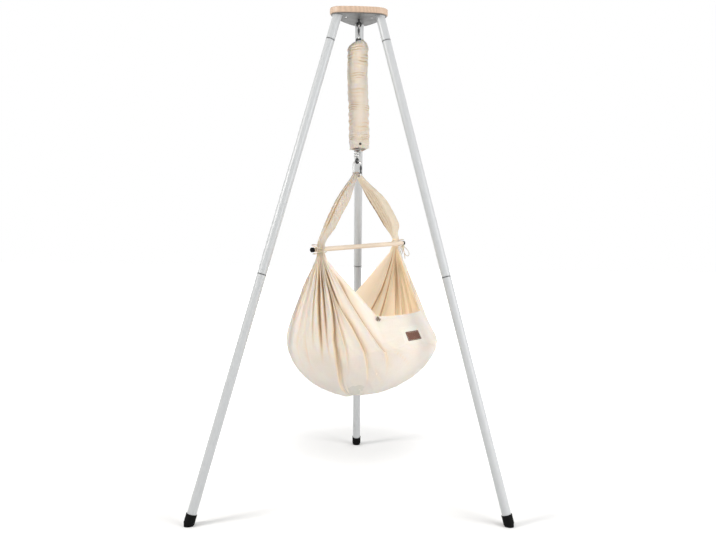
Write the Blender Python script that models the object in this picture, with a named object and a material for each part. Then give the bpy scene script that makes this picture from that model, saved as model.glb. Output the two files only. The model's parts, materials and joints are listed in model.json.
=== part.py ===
"""Baby spring cradle: a three-legged stand, a sprung hanger in a cloth sleeve and a cotton hammock.

Metres, +Z up, standing on Z = 0. The stand's axis is vertical. Two legs are on the -Y side and one on
the +Y side. Everything below the stand's eye bolt hangs on that axis.
"""

import math

import bmesh
import bpy
import numpy as np
from mathutils import Matrix, Vector

# Clearance between pieces that touch or run in each other.
TOUCH = 0.0003

# Legs: tube, and where its axis runs.
LEG_AZIMUTH_DEG = {"left": -60.0, "right": 60.0, "rear": 180.0}
LEG_FLOOR_SPREAD = 0.7033
LEG_TOP_SPREAD = 0.099
LEG_RADIUS = 0.018
LEG_WALL = 0.0015
SPIGOT_LENGTH = 0.070
SPIGOT_TAPER = 0.006
SOCKET_DROP = 0.100
MIDDLE_SEAM_HEIGHT = 0.943
TUBE_SIDES = 20

# Rubber feet.
FOOT_WALL = 0.0026
FOOT_LENGTH = 0.046
FOOT_SOLE = 0.0125
FOOT_EDGE = 0.005

# Snap buttons that lock each joint of a leg.
BUTTON_ABOVE_SEAM = 0.022
BUTTON_RADIUS = 0.004
BUTTON_PROUD = 0.0025
BUTTON_FLANGE_RADIUS = 0.0053
BUTTON_FLANGE_THICKNESS = 0.001
SNAP_STRIP_WIDTH = 0.007
SNAP_STRIP_THICKNESS = 0.0006
SNAP_ARM_BELOW = 0.020
SNAP_ARM_ABOVE = 0.004

# Top board and the steel plate below it: a triangle with round corners and slightly bowed sides.
PLATE_UNDERSIDE = 1.976
PLATE_THICKNESS = 0.004
BOARD_THICKNESS = 0.024
BOARD_EDGE_ROUND = 0.003
BOARD_CORNER_SPREAD = 0.079
BOARD_CORNER_RADIUS = 0.048
BOARD_SIDE_BOW = 0.005
PLATE_INSET = 0.005
SCREW_SPREAD = 0.060
SCREW_HEAD_RADIUS = 0.0045
SCREW_HEAD_HEIGHT = 0.0024
SCREW_SHANK_RADIUS = 0.002
SCREW_DEPTH = 0.016

# Eye bolt through plate and board, and the other two eyes of the same bar.
EYE_MEAN_RADIUS = 0.008
EYE_BAR_RADIUS = 0.0035
EYE_NECK = 0.010
BOLT_RADIUS = 0.005
WASHER_RADIUS = 0.011
WASHER_THICKNESS = 0.0016
NUT_ACROSS_FLATS = 0.017
NUT_HEIGHT = 0.008
NUT_DOME_RADIUS = 0.0075

# Carabiners.
CARABINER_BAR_RADIUS = 0.0035
CARABINER_INSIDE_LENGTH = 0.0556
CARABINER_WIDTH = 0.041
CARABINER_CORNER_RADIUS = 0.013
GATE_BAR_RADIUS = 0.0033
GATE_PIN_RADIUS = 0.0012
GATE_TANG_HALF = 0.0014

# Extension spring and the plugs screwed into its ends.
SPRING_MEAN_RADIUS = 0.012
SPRING_WIRE_RADIUS = 0.002
SPRING_LENGTH = 0.458
SPRING_PITCH = 0.0099
CURL_POINTS = 8
WIRE_SIDES = 4
PLUG_LENGTH = 0.024
PLUG_FLANGE_THICKNESS = 0.003
PLUG_FLANGE_RADIUS = 0.0135
PLUG_NECK = 0.002
SWIVEL_STEM_RADIUS = 0.003
SWIVEL_HEAD_RADIUS = 0.006
SWIVEL_HEAD_THICKNESS = 0.003

# Cloth sleeve round the spring.
SLEEVE_RADIUS = 0.041
SLEEVE_ABOVE_SPRING = 0.0123
SLEEVE_LENGTH = 0.436
SLEEVE_CLOTH = 0.003
SLEEVE_FOLDS = 17
SLEEVE_FOLD_DEPTH = 0.0032
SLEEVE_LEAN = 0.012
SLEEVE_STUD_RADIUS = 0.0045
SLEEVE_STUD_ABOVE_EDGE = 0.016
SLEEVE_STUD_THICKNESS = 0.003

# Hammock: the bar turned away from the stand's X axis, near end on the -X, -Y side.
BAR_YAW_DEG = 50.0
BAR_HALF_LENGTH = 0.294
BAR_RADIUS = 0.0095
BAR_HEIGHT = 1.048
BAR_RISE = 0.018
BAR_CAP_LENGTH = 0.010
BAR_CAP_WALL = 0.0012
BAR_SHIFT = 0.031
NEAR_GATHER = -0.232
FAR_GATHER = 0.291
NECK_HALF_WIDTH = 0.016
NECK_HALF_DEPTH = 0.013
NECK_LENGTH = 0.024
BELLY_HALF_LENGTH = 0.340
BELLY_HALF_WIDTH = 0.288
BELLY_END_SHIFT = 0.020
BELLY_SIDE_SHIFT = 0.035
BELLY_HEIGHT = 0.658
BOTTOM_HEIGHT = 0.430
BELLY_ROUNDING = 0.45
HEM_HEIGHT = 0.788
HEM_SHARE = 0.82
HEM_END_SHIFT = 0.010
HEM_SIDE_SHIFT = 0.024
FAN_HALF_ANGLE_DEG = 52.0
HEM_CORNER_DEG = 8.0
CLOTH_THICKNESS = 0.003
PLEAT_DEPTH = 0.011
PLEAT_DEPTH_SHARE = 0.5
FAR_CORNER_SLACK = 0.034
FAR_CORNER_DEG = 48.0

# Band of folded cloth over the lower carabiner.
BAND_HALF_WIDTH = 0.028
BAND_HALF_THICKNESS = 0.0075
BAND_TOP_HALF_WIDTH = 0.011
BAND_BOW = 0.018
BAND_HOLLOW = 0.008
BAND_FAR_FLAP = 0.010
BAND_SIDES = 16

# Lashings, bows and trim.
CORD_RADIUS = 0.0017
LASHING_POINTS = 24
BOW_LOOP_LENGTH = 0.050
BOW_TAIL_LENGTH = 0.055
BOW_KNOT_RADIUS = 0.0055
BOW_GAP = 0.006
BOW_SIDE_SHIFT = 0.0046
HEM_TIE_LOOP_LENGTH = 0.014
HEM_TIE_TAIL_LENGTH = 0.016
HEM_TIE_CORD_RADIUS = 0.001
HEM_TIE_KNOT_RADIUS = 0.003
HEM_TIE_STANDOFF = 0.0004
PATCH_WIDTH = 0.098
PATCH_HEIGHT = 0.040
PATCH_SIDE_MARGIN = 0.020
PATCH_EDGE_MARGIN = 0.011
PATCH_CENTRE_HEIGHT = 0.716
PATCH_CENTRE_DEG = 92.0
PATCH_THICKNESS = 0.0015
BACKING_THICKNESS = 0.0008

# Mattress in the bottom of the hammock.
MATTRESS_EDGE = 0.5
MATTRESS_THICKNESS = 0.030
MATTRESS_CROWN = 0.004


def clear_scene():
    for obj in list(bpy.data.objects):
        bpy.data.objects.remove(obj, do_unlink=True)


def make_material(name, colour, roughness, metallic=0.0):
    material = bpy.data.materials.new(name)
    material.use_nodes = True
    shader = material.node_tree.nodes["Principled BSDF"]
    shader.inputs["Base Color"].default_value = (*colour, 1.0)
    shader.inputs["Roughness"].default_value = roughness
    shader.inputs["Metallic"].default_value = metallic
    return material


# Pivots: empties on the joint axes. Each holds its place in stand coordinates.


def add_pivot(name, position, parent=None):
    """An empty at a place given in stand coordinates."""
    pivot = bpy.data.objects.new(name, None)
    bpy.context.scene.collection.objects.link(pivot)
    pivot["stand_position"] = tuple(position)
    if parent:
        pivot.parent = parent
        position = Vector(position) - Vector(parent["stand_position"])
    pivot.location = position
    return pivot


def add_piece(name, shape, material, pivot, placement=None, crease_deg=35.0):
    """An object from (vertices, faces).

    Without a placement the vertices are in stand coordinates, and the object's origin is its pivot.
    With one, they are in the placement's own axes.
    """
    vertices, faces = shape
    vertices = np.asarray(vertices, float)
    offset = Vector(pivot["stand_position"])
    if placement is None:
        vertices = vertices - np.array(offset)
    mesh = bpy.data.meshes.new(name)
    mesh.from_pydata(vertices.tolist(), [], [list(map(int, face)) for face in faces])
    tidy = bmesh.new()
    tidy.from_mesh(mesh)
    bmesh.ops.recalc_face_normals(tidy, faces=tidy.faces)
    tidy.to_mesh(mesh)
    tidy.free()
    mesh.shade_smooth()
    mesh.set_sharp_from_angle(angle=math.radians(crease_deg))
    mesh.materials.append(material)
    obj = bpy.data.objects.new(name, mesh)
    bpy.context.scene.collection.objects.link(obj)
    obj.parent = pivot
    if placement is not None:
        obj.matrix_local = Matrix.Translation(-offset) @ placement
    return obj


def add_cutter(name, shape, pivot, placement=None):
    cutter = add_piece(name, shape, make_material(name, (1, 0, 0), 0.5), pivot, placement)
    cutter.hide_render = True
    cutter.display_type = "WIRE"
    return cutter


def boolean(obj, other, operation):
    modifier = obj.modifiers.new(f"{operation.lower()} {other.name}", "BOOLEAN")
    modifier.operation = operation
    modifier.solver = "EXACT"
    modifier.object = other


# Shapes: each gives (vertices, faces).


def revolve(profile, sides):
    """Turns a closed outline of (radius, height) points round Z. An outline may start and end on Z."""
    profile = np.asarray(profile, float)
    turn = np.linspace(0, 2 * math.pi, sides, endpoint=False)
    on_axis = profile[0, 0] == 0 and profile[-1, 0] == 0
    rings = profile[1:-1] if on_axis else profile
    vertices = [
        (radius * math.cos(a), radius * math.sin(a), height) for radius, height in rings for a in turn
    ]
    count = len(rings)
    faces = []
    for ring in range(count - 1 if on_axis else count):
        low, high = ring * sides, (ring + 1) % count * sides
        for i in range(sides):
            j = (i + 1) % sides
            faces.append((low + i, low + j, high + j, high + i))
    if on_axis:
        for pole, base in ((profile[0], 0), (profile[-1], (count - 1) * sides)):
            vertices.append((0.0, 0.0, pole[1]))
            for i in range(sides):
                faces.append((len(vertices) - 1, base + i, base + (i + 1) % sides))
    return vertices, faces


def cylinder(radius, low, high, sides):
    return revolve([(0, low), (radius, low), (radius, high), (0, high)], sides)


def path_frames(points, closed, start_side):
    """Tangents and sideways vectors along a path, the sideways vector carried along without twist."""
    points = np.asarray(points, float)
    if closed:
        tangents = np.roll(points, -1, axis=0) - np.roll(points, 1, axis=0)
    else:
        tangents = np.gradient(points, axis=0)
    tangents /= np.linalg.norm(tangents, axis=1)[:, None]
    side = np.asarray(start_side, float)
    sides = []
    for tangent in tangents:
        side = side - tangent * side.dot(tangent)
        side /= np.linalg.norm(side)
        sides.append(side)
    return points, tangents, np.array(sides)


def sweep(points, radius, sides, start_side, closed=False, round_ends=False):
    """A round bar along a path. radius is one number or one for each point."""
    points, tangents, side = path_frames(points, closed, start_side)
    radii = np.full(len(points), radius, float) if np.isscalar(radius) else np.asarray(radius, float)
    if round_ends:
        steps = np.radians([60, 30])
        for end, way, order in ((0, -1, 1), (-1, 1, -1)):
            middle, tangent, radius_end = points[end].copy(), tangents[end] * way, radii[end]
            ring_points = [middle + tangent * radius_end * math.sin(a) for a in steps][::order]
            ring_radii = [radius_end * math.cos(a) for a in steps][::order]
            if end == 0:
                points = np.vstack([ring_points, points])
                radii = np.concatenate([ring_radii, radii])
                side = np.vstack([side[:1]] * 2 + [side])
                tangents = np.vstack([tangents[:1]] * 2 + [tangents])
            else:
                points = np.vstack([points, ring_points])
                radii = np.concatenate([radii, ring_radii])
                side = np.vstack([side] + [side[-1:]] * 2)
                tangents = np.vstack([tangents] + [tangents[-1:]] * 2)
    up = np.cross(tangents, side)
    turn = np.linspace(0, 2 * math.pi, sides, endpoint=False)
    rings = (
        points[:, None]
        + radii[:, None, None] * np.cos(turn)[None, :, None] * side[:, None]
        + radii[:, None, None] * np.sin(turn)[None, :, None] * up[:, None]
    )
    return rings_to_shape(rings, closed)


def rings_to_shape(rings, closed=False, poles=None):
    """Joins rings of as many points each. Open ends get a flat face, or a pole where poles gives one."""
    rings = np.asarray(rings, float)
    count, sides = rings.shape[:2]
    vertices = rings.reshape(-1, 3).tolist()
    faces = []
    for ring in range(count if closed else count - 1):
        low, high = ring * sides, (ring + 1) % count * sides
        for i in range(sides):
            j = (i + 1) % sides
            faces.append((low + i, low + j, high + j, high + i))
    if not closed:
        for end, base in enumerate((0, (count - 1) * sides)):
            if poles is None or poles[end] is None:
                faces.append(tuple(range(base, base + sides)))
                continue
            vertices.append(list(poles[end]))
            for i in range(sides):
                faces.append((len(vertices) - 1, base + i, base + (i + 1) % sides))
    return vertices, faces


def shell(outer, inner, outer_pole=None, inner_pole=None):
    """A cloth wall between two surfaces of rows of points. It is closed along the first row, and at the
    last row by poles or by a second edge."""
    outer, inner = np.asarray(outer, float), np.asarray(inner, float)
    if outer_pole is None:
        return rings_to_shape(np.concatenate([outer, inner[::-1]]), closed=True)
    rings = np.concatenate([outer[::-1], inner])
    return rings_to_shape(rings, poles=(outer_pole, inner_pole))


def smooth(value, low, high):
    """0 below low, 1 above high, with a smooth step between."""
    share = np.clip((np.asarray(value, float) - low) / (high - low), 0, 1)
    return share * share * (3 - 2 * share)


# Stand


def leg_axes(azimuth_deg):
    """Matrix of a leg: X points in to the stand's axis, Z up along the tube, origin on the floor."""
    azimuth = math.radians(azimuth_deg)
    out = Vector((math.sin(azimuth), -math.cos(azimuth), 0))
    foot = out * LEG_FLOOR_SPREAD
    top = out * LEG_TOP_SPREAD + Vector((0, 0, PLATE_UNDERSIDE))
    along = (top - foot).normalized()
    across = along.cross(-out).normalized()
    inward = across.cross(along)
    axes = Matrix((inward, across, along)).transposed().to_4x4()
    return Matrix.Translation(foot) @ axes


LEG_TILT = math.atan2(LEG_FLOOR_SPREAD - LEG_TOP_SPREAD, PLATE_UNDERSIDE)
TOP_SEAM = (PLATE_UNDERSIDE - SOCKET_DROP) / math.cos(LEG_TILT)
MIDDLE_SEAM = MIDDLE_SEAM_HEIGHT / math.cos(LEG_TILT)
LEG_BORE = LEG_RADIUS - LEG_WALL
SPIGOT_RADIUS = LEG_BORE - TOUCH
SPIGOT_BORE = SPIGOT_RADIUS - LEG_WALL
# Depth of a flat face across the spigot's bore, for the flange and for the far arm of the strip.
SNAP_FLANGE_FACE = math.sqrt(SPIGOT_BORE**2 - BUTTON_FLANGE_RADIUS**2) - TOUCH
SNAP_FAR_FACE = math.sqrt(SPIGOT_BORE**2 - (SNAP_STRIP_WIDTH / 2) ** 2) - TOUCH


def mitre(shape, sides, rings, plane_height):
    """Slides the points of some rings along the tube's axis until they lie in a level plane."""
    vertices, faces = shape
    vertices = [list(vertex) for vertex in vertices]
    for ring in rings:
        for i in range(ring * sides, (ring + 1) * sides):
            x = vertices[i][0]
            vertices[i][2] = (plane_height + x * math.sin(LEG_TILT)) / math.cos(LEG_TILT)
    return vertices, faces


def socket_shape():
    """Short stub, cut level under the plate and square at the seam."""
    top = TOP_SEAM + SPIGOT_LENGTH
    outline = [
        (LEG_RADIUS, TOP_SEAM + TOUCH),
        (LEG_RADIUS, top),
        (LEG_BORE, top),
        (LEG_BORE, TOP_SEAM + TOUCH),
    ]
    return mitre(revolve(outline, TUBE_SIDES), TUBE_SIDES, (1, 2), PLATE_UNDERSIDE - TOUCH)


def leg_shape(low, high):
    """Tube with its upper end drawn down to a spigot that enters the tube above."""
    top = high + SPIGOT_LENGTH
    return revolve(
        [
            (LEG_RADIUS, low),
            (LEG_RADIUS, high),
            (SPIGOT_RADIUS, high + TOUCH),
            (SPIGOT_RADIUS, top),
            (SPIGOT_BORE, top),
            (SPIGOT_BORE, high),
            (LEG_BORE, high - SPIGOT_TAPER),
            (LEG_BORE, low),
        ],
        TUBE_SIDES,
    )


def foot_shape():
    """Rubber cap over the tube's end, with a level sole and a round edge."""
    radius = LEG_RADIUS + TOUCH + FOOT_WALL
    rise = radius * math.tan(LEG_TILT)
    shape = revolve(
        [
            (0, FOOT_SOLE / 3),
            (radius - FOOT_EDGE, 0),
            (radius - FOOT_EDGE * 0.4, rise + FOOT_EDGE * 0.3),
            (radius, rise + FOOT_EDGE),
            (radius, FOOT_LENGTH - FOOT_WALL / 2),
            (radius - FOOT_WALL / 2, FOOT_LENGTH),
            (LEG_RADIUS + TOUCH, FOOT_LENGTH),
            (LEG_RADIUS + TOUCH, FOOT_SOLE - TOUCH),
            (0, FOOT_SOLE - TOUCH),
        ],
        TUBE_SIDES,
    )
    vertices, faces = mitre(shape, TUBE_SIDES, (0,), 0.0)
    vertices[-2] = [0.0, 0.0, 0.0]
    return vertices, faces


def button_shape():
    """Pin with a flange inside the spigot and a domed end outside, along X from the tube's axis."""
    end = LEG_RADIUS + BUTTON_PROUD
    back = SNAP_FLANGE_FACE - BUTTON_FLANGE_THICKNESS
    outline = [
        (0, back),
        (BUTTON_FLANGE_RADIUS, back),
        (BUTTON_FLANGE_RADIUS, SNAP_FLANGE_FACE),
        (BUTTON_RADIUS, SNAP_FLANGE_FACE),
        (BUTTON_RADIUS, end - BUTTON_RADIUS * 0.35),
        (BUTTON_RADIUS * 0.7, end - BUTTON_RADIUS * 0.1),
        (0, end),
    ]
    vertices, faces = revolve(outline, 10)
    return [(z, x, y) for x, y, z in vertices], faces


def snap_spring_shape():
    """Sprung strip bent to a U: one arm behind the button, the other on the far wall."""
    half = SNAP_STRIP_THICKNESS / 2
    near = SNAP_FLANGE_FACE - BUTTON_FLANGE_THICKNESS - TOUCH - half
    far = -(SNAP_FAR_FACE - half)
    middle, bend = (near + far) / 2, (near - far) / 2
    turn = np.radians(np.linspace(0, 180, 9))
    centre = [(near, SNAP_ARM_ABOVE)]
    centre += [(middle + bend * math.cos(a), -SNAP_ARM_BELOW - bend * math.sin(a)) for a in turn]
    centre += [(far, SNAP_ARM_ABOVE)]
    points, _, side = path_frames([(x, 0, z) for x, z in centre], False, (1, 0, 0))
    across = np.array([0, SNAP_STRIP_WIDTH / 2, 0])
    rings = [
        [point + normal * half * n + across * c for n, c in ((1, 1), (1, -1), (-1, -1), (-1, 1))]
        for point, normal in zip(points, side)
    ]
    return rings_to_shape(rings)


def build_leg(name, materials, stand):
    """One leg: welded socket, two tubes, foot, and a snap button and its strip at each seam."""
    axes = leg_axes(LEG_AZIMUTH_DEG[name])
    socket = add_piece(f"leg_socket_{name}", socket_shape(), materials["white"], stand, axes)
    upper = leg_shape(MIDDLE_SEAM + TOUCH, TOP_SEAM)
    upper = add_piece(f"upper_leg_{name}", upper, materials["white"], stand, axes)
    lower = leg_shape(FOOT_SOLE, MIDDLE_SEAM)
    lower = add_piece(f"lower_leg_{name}", lower, materials["white"], stand, axes)
    add_piece(f"foot_{name}", foot_shape(), materials["rubber"], stand, axes)
    for level, seam, outside, inside in (("top", TOP_SEAM, socket, upper), ("middle", MIDDLE_SEAM, upper, lower)):
        height = seam + BUTTON_ABOVE_SEAM
        place = axes @ Matrix.Translation((0, 0, height))
        centre = Vector(place.translation)
        pivot = add_pivot(f"{level}_button_axis_{name}", centre, stand)
        hole = cylinder(BUTTON_RADIUS + TOUCH, 0, LEG_RADIUS * 1.5, 12)
        hole = [(z + LEG_RADIUS / 2, x, y) for x, y, z in hole[0]], hole[1]
        cutter = add_cutter(f"{level}_button_hole_{name}", hole, stand, place)
        boolean(outside, cutter, "DIFFERENCE")
        boolean(inside, cutter, "DIFFERENCE")
        add_piece(f"{level}_button_{name}", button_shape(), materials["steel"], pivot, place)
        strip = f"{level}_snap_spring_{name}"
        add_piece(strip, snap_spring_shape(), materials["steel"], stand, place)


def board_outline(inset):
    """Triangle of three round corners joined by bowed sides, all tangent."""
    middle = BOARD_CORNER_SPREAD / 2
    half = BOARD_CORNER_SPREAD * math.sin(math.radians(60))
    flat = middle + BOARD_CORNER_RADIUS + BOARD_SIDE_BOW
    # The side's arc has its centre behind the stand's axis, so that it touches both corner circles.
    reach = flat - BOARD_CORNER_RADIUS
    back = (half**2 + middle**2 - reach**2) / (2 * (reach - middle))
    side_radius = back + flat - inset
    corner_radius = BOARD_CORNER_RADIUS - inset
    swing = math.atan2(half, middle + back)
    points = []
    for third in range(3):
        turn = math.radians(120 * third)
        for a in np.linspace(-swing, swing, 4)[:-1]:
            along, out = side_radius * math.sin(a), side_radius * math.cos(a) - back
            points.append((along, out, turn))
        for a in np.linspace(swing, math.radians(120) - swing, 7)[:-1]:
            along = half + corner_radius * math.sin(a)
            out = middle + corner_radius * math.cos(a)
            points.append((along, out, turn))
    return [
        (along * math.cos(t) + out * math.sin(t), along * math.sin(t) - out * math.cos(t))
        for along, out, t in points
    ]


def slab(outline, low, high):
    rings = [[(x, y, z) for x, y in outline] for z in (low, high)]
    return rings_to_shape(rings)


def corner_places(spread):
    return {
        name: (spread * math.sin(math.radians(a)), -spread * math.cos(math.radians(a)))
        for name, a in LEG_AZIMUTH_DEG.items()
    }


def moved(shape, x, y, z=0.0):
    vertices, faces = shape
    return [(a + x, b + y, c + z) for a, b, c in vertices], faces


def screw_shape():
    """Pan-head screw, head below the plate's underside at Z = 0."""
    low, edge = -TOUCH - SCREW_HEAD_HEIGHT, SCREW_HEAD_HEIGHT * 0.45
    return revolve(
        [
            (0, low),
            (SCREW_HEAD_RADIUS * 0.6, low),
            (SCREW_HEAD_RADIUS, low + edge),
            (SCREW_HEAD_RADIUS, -TOUCH),
            (SCREW_SHANK_RADIUS, -TOUCH),
            (SCREW_SHANK_RADIUS, SCREW_DEPTH - SCREW_SHANK_RADIUS * 2),
            (0, SCREW_DEPTH),
        ],
        12,
    )


def build_top(materials, stand):
    """Wooden board on the steel plate, screwed together, with the eye bolt through both."""
    plate_top = PLATE_UNDERSIDE + PLATE_THICKNESS
    board_low = plate_top + TOUCH
    board_high = board_low + BOARD_THICKNESS
    shape = slab(board_outline(0.0), board_low, board_high)
    board = add_piece("top_board", shape, materials["birch"], stand)
    bevel = board.modifiers.new("rounded edges", "BEVEL")
    bevel.width = BOARD_EDGE_ROUND
    bevel.segments = 2
    bevel.limit_method = "ANGLE"
    shape = slab(board_outline(PLATE_INSET), PLATE_UNDERSIDE, plate_top)
    plate = add_piece("mount_plate", shape, materials["white"], stand)

    reach = BOARD_THICKNESS * 2
    bolt_hole = cylinder(BOLT_RADIUS + TOUCH, PLATE_UNDERSIDE - reach, board_high + reach, 20)
    cutter = add_cutter("bolt_hole", bolt_hole, stand)
    boolean(board, cutter, "DIFFERENCE")
    boolean(plate, cutter, "DIFFERENCE")
    for name, (x, y) in corner_places(SCREW_SPREAD).items():
        hole = cylinder(SCREW_SHANK_RADIUS + TOUCH, -reach, SCREW_DEPTH + TOUCH, 12)
        cutter = add_cutter(f"screw_hole_{name}", moved(hole, x, y, PLATE_UNDERSIDE), stand)
        boolean(board, cutter, "DIFFERENCE")
        boolean(plate, cutter, "DIFFERENCE")
        screw = moved(screw_shape(), x, y, PLATE_UNDERSIDE)
        add_piece(f"board_screw_{name}", screw, materials["steel"], stand)

    washer_low = board_high + TOUCH
    nut_low = washer_low + WASHER_THICKNESS + TOUCH
    bore = BOLT_RADIUS + TOUCH
    washer = [
        (WASHER_RADIUS, washer_low),
        (WASHER_RADIUS, washer_low + WASHER_THICKNESS),
        (bore, washer_low + WASHER_THICKNESS),
        (bore, washer_low),
    ]
    add_piece("eye_washer", revolve(washer, 16), materials["black"], stand)
    build_dome_nut(nut_low, materials["black"], stand)
    bolt_top = nut_low + NUT_HEIGHT
    centre = EYE_CENTRE
    ring = ring_shape((0, 0, centre), (1, 0, 0))
    bolt = add_piece("eye_bolt", ring, materials["black"], stand)
    shank = cylinder(BOLT_RADIUS, centre + EYE_MEAN_RADIUS, bolt_top, 16)
    shank = add_cutter("eye_bolt_shank", shank, stand)
    boolean(bolt, shank, "UNION")


def build_dome_nut(low, material, stand):
    """Hexagon with a dome over the end of the bolt, and a blind bore."""
    corner = NUT_ACROSS_FLATS / math.sqrt(3)
    high = low + NUT_HEIGHT * 0.6
    turn = np.linspace(0, 2 * math.pi, 6, endpoint=False)
    rings = [[(corner * math.cos(a), corner * math.sin(a), z) for a in turn] for z in (low, high)]
    nut = add_piece("eye_nut", rings_to_shape(rings), material, stand)
    up = np.radians([0, 30, 60])
    dome = [(NUT_DOME_RADIUS * math.cos(a), high + NUT_DOME_RADIUS * math.sin(a)) for a in up]
    dome = [(0, high - TOUCH), (NUT_DOME_RADIUS, high - TOUCH), *dome, (0, high + NUT_DOME_RADIUS)]
    boolean(nut, add_cutter("nut_dome", revolve(dome, 18), stand), "UNION")
    bore = cylinder(BOLT_RADIUS + TOUCH, low - NUT_HEIGHT, low + NUT_HEIGHT + TOUCH, 16)
    boolean(nut, add_cutter("nut_bore", bore, stand), "DIFFERENCE")


# Hanger: the eyes' and hooks' heights follow from how each hangs on the one above it.

EYE_CENTRE = PLATE_UNDERSIDE - EYE_NECK - EYE_BAR_RADIUS - EYE_MEAN_RADIUS
EYE_SEAT = EYE_CENTRE - EYE_MEAN_RADIUS + EYE_BAR_RADIUS
UPPER_HOOK_TOP = EYE_SEAT + TOUCH + CARABINER_BAR_RADIUS
CARABINER_HEIGHT = CARABINER_INSIDE_LENGTH + 2 * CARABINER_BAR_RADIUS
HOOK_SEAT = UPPER_HOOK_TOP - CARABINER_HEIGHT + CARABINER_BAR_RADIUS
SPRING_EYE_CENTRE = HOOK_SEAT + TOUCH + EYE_BAR_RADIUS - EYE_MEAN_RADIUS
SPRING_TOP = SPRING_EYE_CENTRE - EYE_MEAN_RADIUS - EYE_BAR_RADIUS - PLUG_NECK - PLUG_FLANGE_THICKNESS - TOUCH
SPRING_BOTTOM = SPRING_TOP - SPRING_LENGTH
LOWER_EYE_CENTRE = SPRING_BOTTOM - TOUCH - PLUG_FLANGE_THICKNESS - TOUCH - EYE_BAR_RADIUS - EYE_MEAN_RADIUS
LOWER_EYE_SEAT = LOWER_EYE_CENTRE - EYE_MEAN_RADIUS + EYE_BAR_RADIUS
LOWER_HOOK_TOP = LOWER_EYE_SEAT + TOUCH + CARABINER_BAR_RADIUS
BAND_SEAT = LOWER_HOOK_TOP - CARABINER_HEIGHT + CARABINER_BAR_RADIUS
SLEEVE_TOP = SPRING_TOP + SLEEVE_ABOVE_SPRING
SLEEVE_BOTTOM = SLEEVE_TOP - SLEEVE_LENGTH
SLEEVE_STUD_HEIGHT = SLEEVE_BOTTOM + SLEEVE_STUD_ABOVE_EDGE


def ring_shape(centre, across):
    """Eye standing upright, with its plane along a level direction."""
    turn = np.linspace(0, 2 * math.pi, 16, endpoint=False)
    across, up = np.array(across, float), np.array([0, 0, 1.0])
    points = [np.array(centre) + EYE_MEAN_RADIUS * (math.cos(a) * across + math.sin(a) * up) for a in turn]
    return sweep(points, EYE_BAR_RADIUS, 8, np.cross(across, up), closed=True)


def build_carabiner(prefix, top, across, materials, pivot):
    """Rounded bar bent to a ring, open on one side, where a sprung gate turns on a pin.

    across is the level direction from the spine to the gate. The bar starts at the nose over the gate's
    tip and ends in a flat tang between the gate's two cheeks.
    """
    across = np.array(across, float)
    normal = np.cross(across, (0, 0, 1))
    bottom = top - CARABINER_HEIGHT
    half, corner = CARABINER_WIDTH / 2, CARABINER_CORNER_RADIUS
    gate_low, gate_high = bottom + corner, top - corner

    def at(p, z):
        return across * p + np.array([0, 0, z])

    outline = [at(half, gate_high)]
    for centre_p, centre_z, start in (
        (half - corner, top - corner, 0),
        (corner - half, top - corner, 90),
        (corner - half, bottom + corner, 180),
        (half - corner, bottom + corner, 270),
    ):
        for a in np.radians(np.linspace(start, start + 90, 5)[0 if start else 1 :]):
            outline.append(at(centre_p + corner * math.cos(a), centre_z + corner * math.sin(a)))
    bar = sweep(outline, CARABINER_BAR_RADIUS, 8, normal, round_ends=True)
    hook = add_piece(f"{prefix}_carabiner", bar, materials["steel"], pivot)

    # The bar's rounded end lies round the pin. Its two sides are cut away to leave the tang.
    pin_place = at(half, gate_low)
    reach = CARABINER_BAR_RADIUS * 2
    for side in (1, -1):
        middle = pin_place + normal * side * (GATE_TANG_HALF + reach / 2)
        block = box_shape(middle, (across, normal, (0, 0, 1)), (reach, reach / 2, reach / 2 + TOUCH))
        boolean(hook, add_cutter(f"{prefix}_tang_side_{side + 1}", block, pivot), "DIFFERENCE")
    hole = across_rod(pin_place, normal, GATE_PIN_RADIUS + TOUCH, CARABINER_BAR_RADIUS * 3, 10)
    hole = add_cutter(f"{prefix}_pin_hole", hole, pivot)
    boolean(hook, hole, "DIFFERENCE")

    axis = add_pivot(f"{prefix}_gate_axis", pin_place, pivot)
    nose_gap = CARABINER_BAR_RADIUS + TOUCH
    tip = gate_high - nose_gap - GATE_BAR_RADIUS
    rod = sweep([at(half, z) for z in np.linspace(gate_low, tip, 4)], GATE_BAR_RADIUS, 8, normal, round_ends=True)
    gate = add_piece(f"{prefix}_gate", rod, materials["black"], axis)
    slot_top = gate_low + CARABINER_BAR_RADIUS + 2 * TOUCH
    slot_low = gate_low - reach
    middle = at(half, (slot_top + slot_low) / 2)
    slot = box_shape(
        middle,
        (across, normal, (0, 0, 1)),
        (reach, GATE_TANG_HALF + TOUCH, (slot_top - slot_low) / 2),
    )
    boolean(gate, add_cutter(f"{prefix}_gate_slot", slot, axis), "DIFFERENCE")
    boolean(gate, hole, "DIFFERENCE")
    pin = across_rod(pin_place, normal, GATE_PIN_RADIUS, GATE_BAR_RADIUS, 10)
    add_piece(f"{prefix}_gate_pin", pin, materials["steel"], pivot)


def box_shape(centre, axes, halves):
    """Block with its own axes: centre, three unit vectors and three half sizes."""
    axes = np.array([np.asarray(axis, float) * half for axis, half in zip(axes, halves)])
    corners = ((1, 1), (-1, 1), (-1, -1), (1, -1))
    rings = [[np.asarray(centre) + a * axes[0] + b * axes[1] + c * axes[2] for a, b in corners] for c in (-1, 1)]
    return rings_to_shape(rings)


def across_rod(centre, axis, radius, half, sides):
    points = [np.asarray(centre) + np.asarray(axis) * s for s in (-half, half)]
    return sweep(points, radius, sides, (0, 0, 1))


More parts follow.
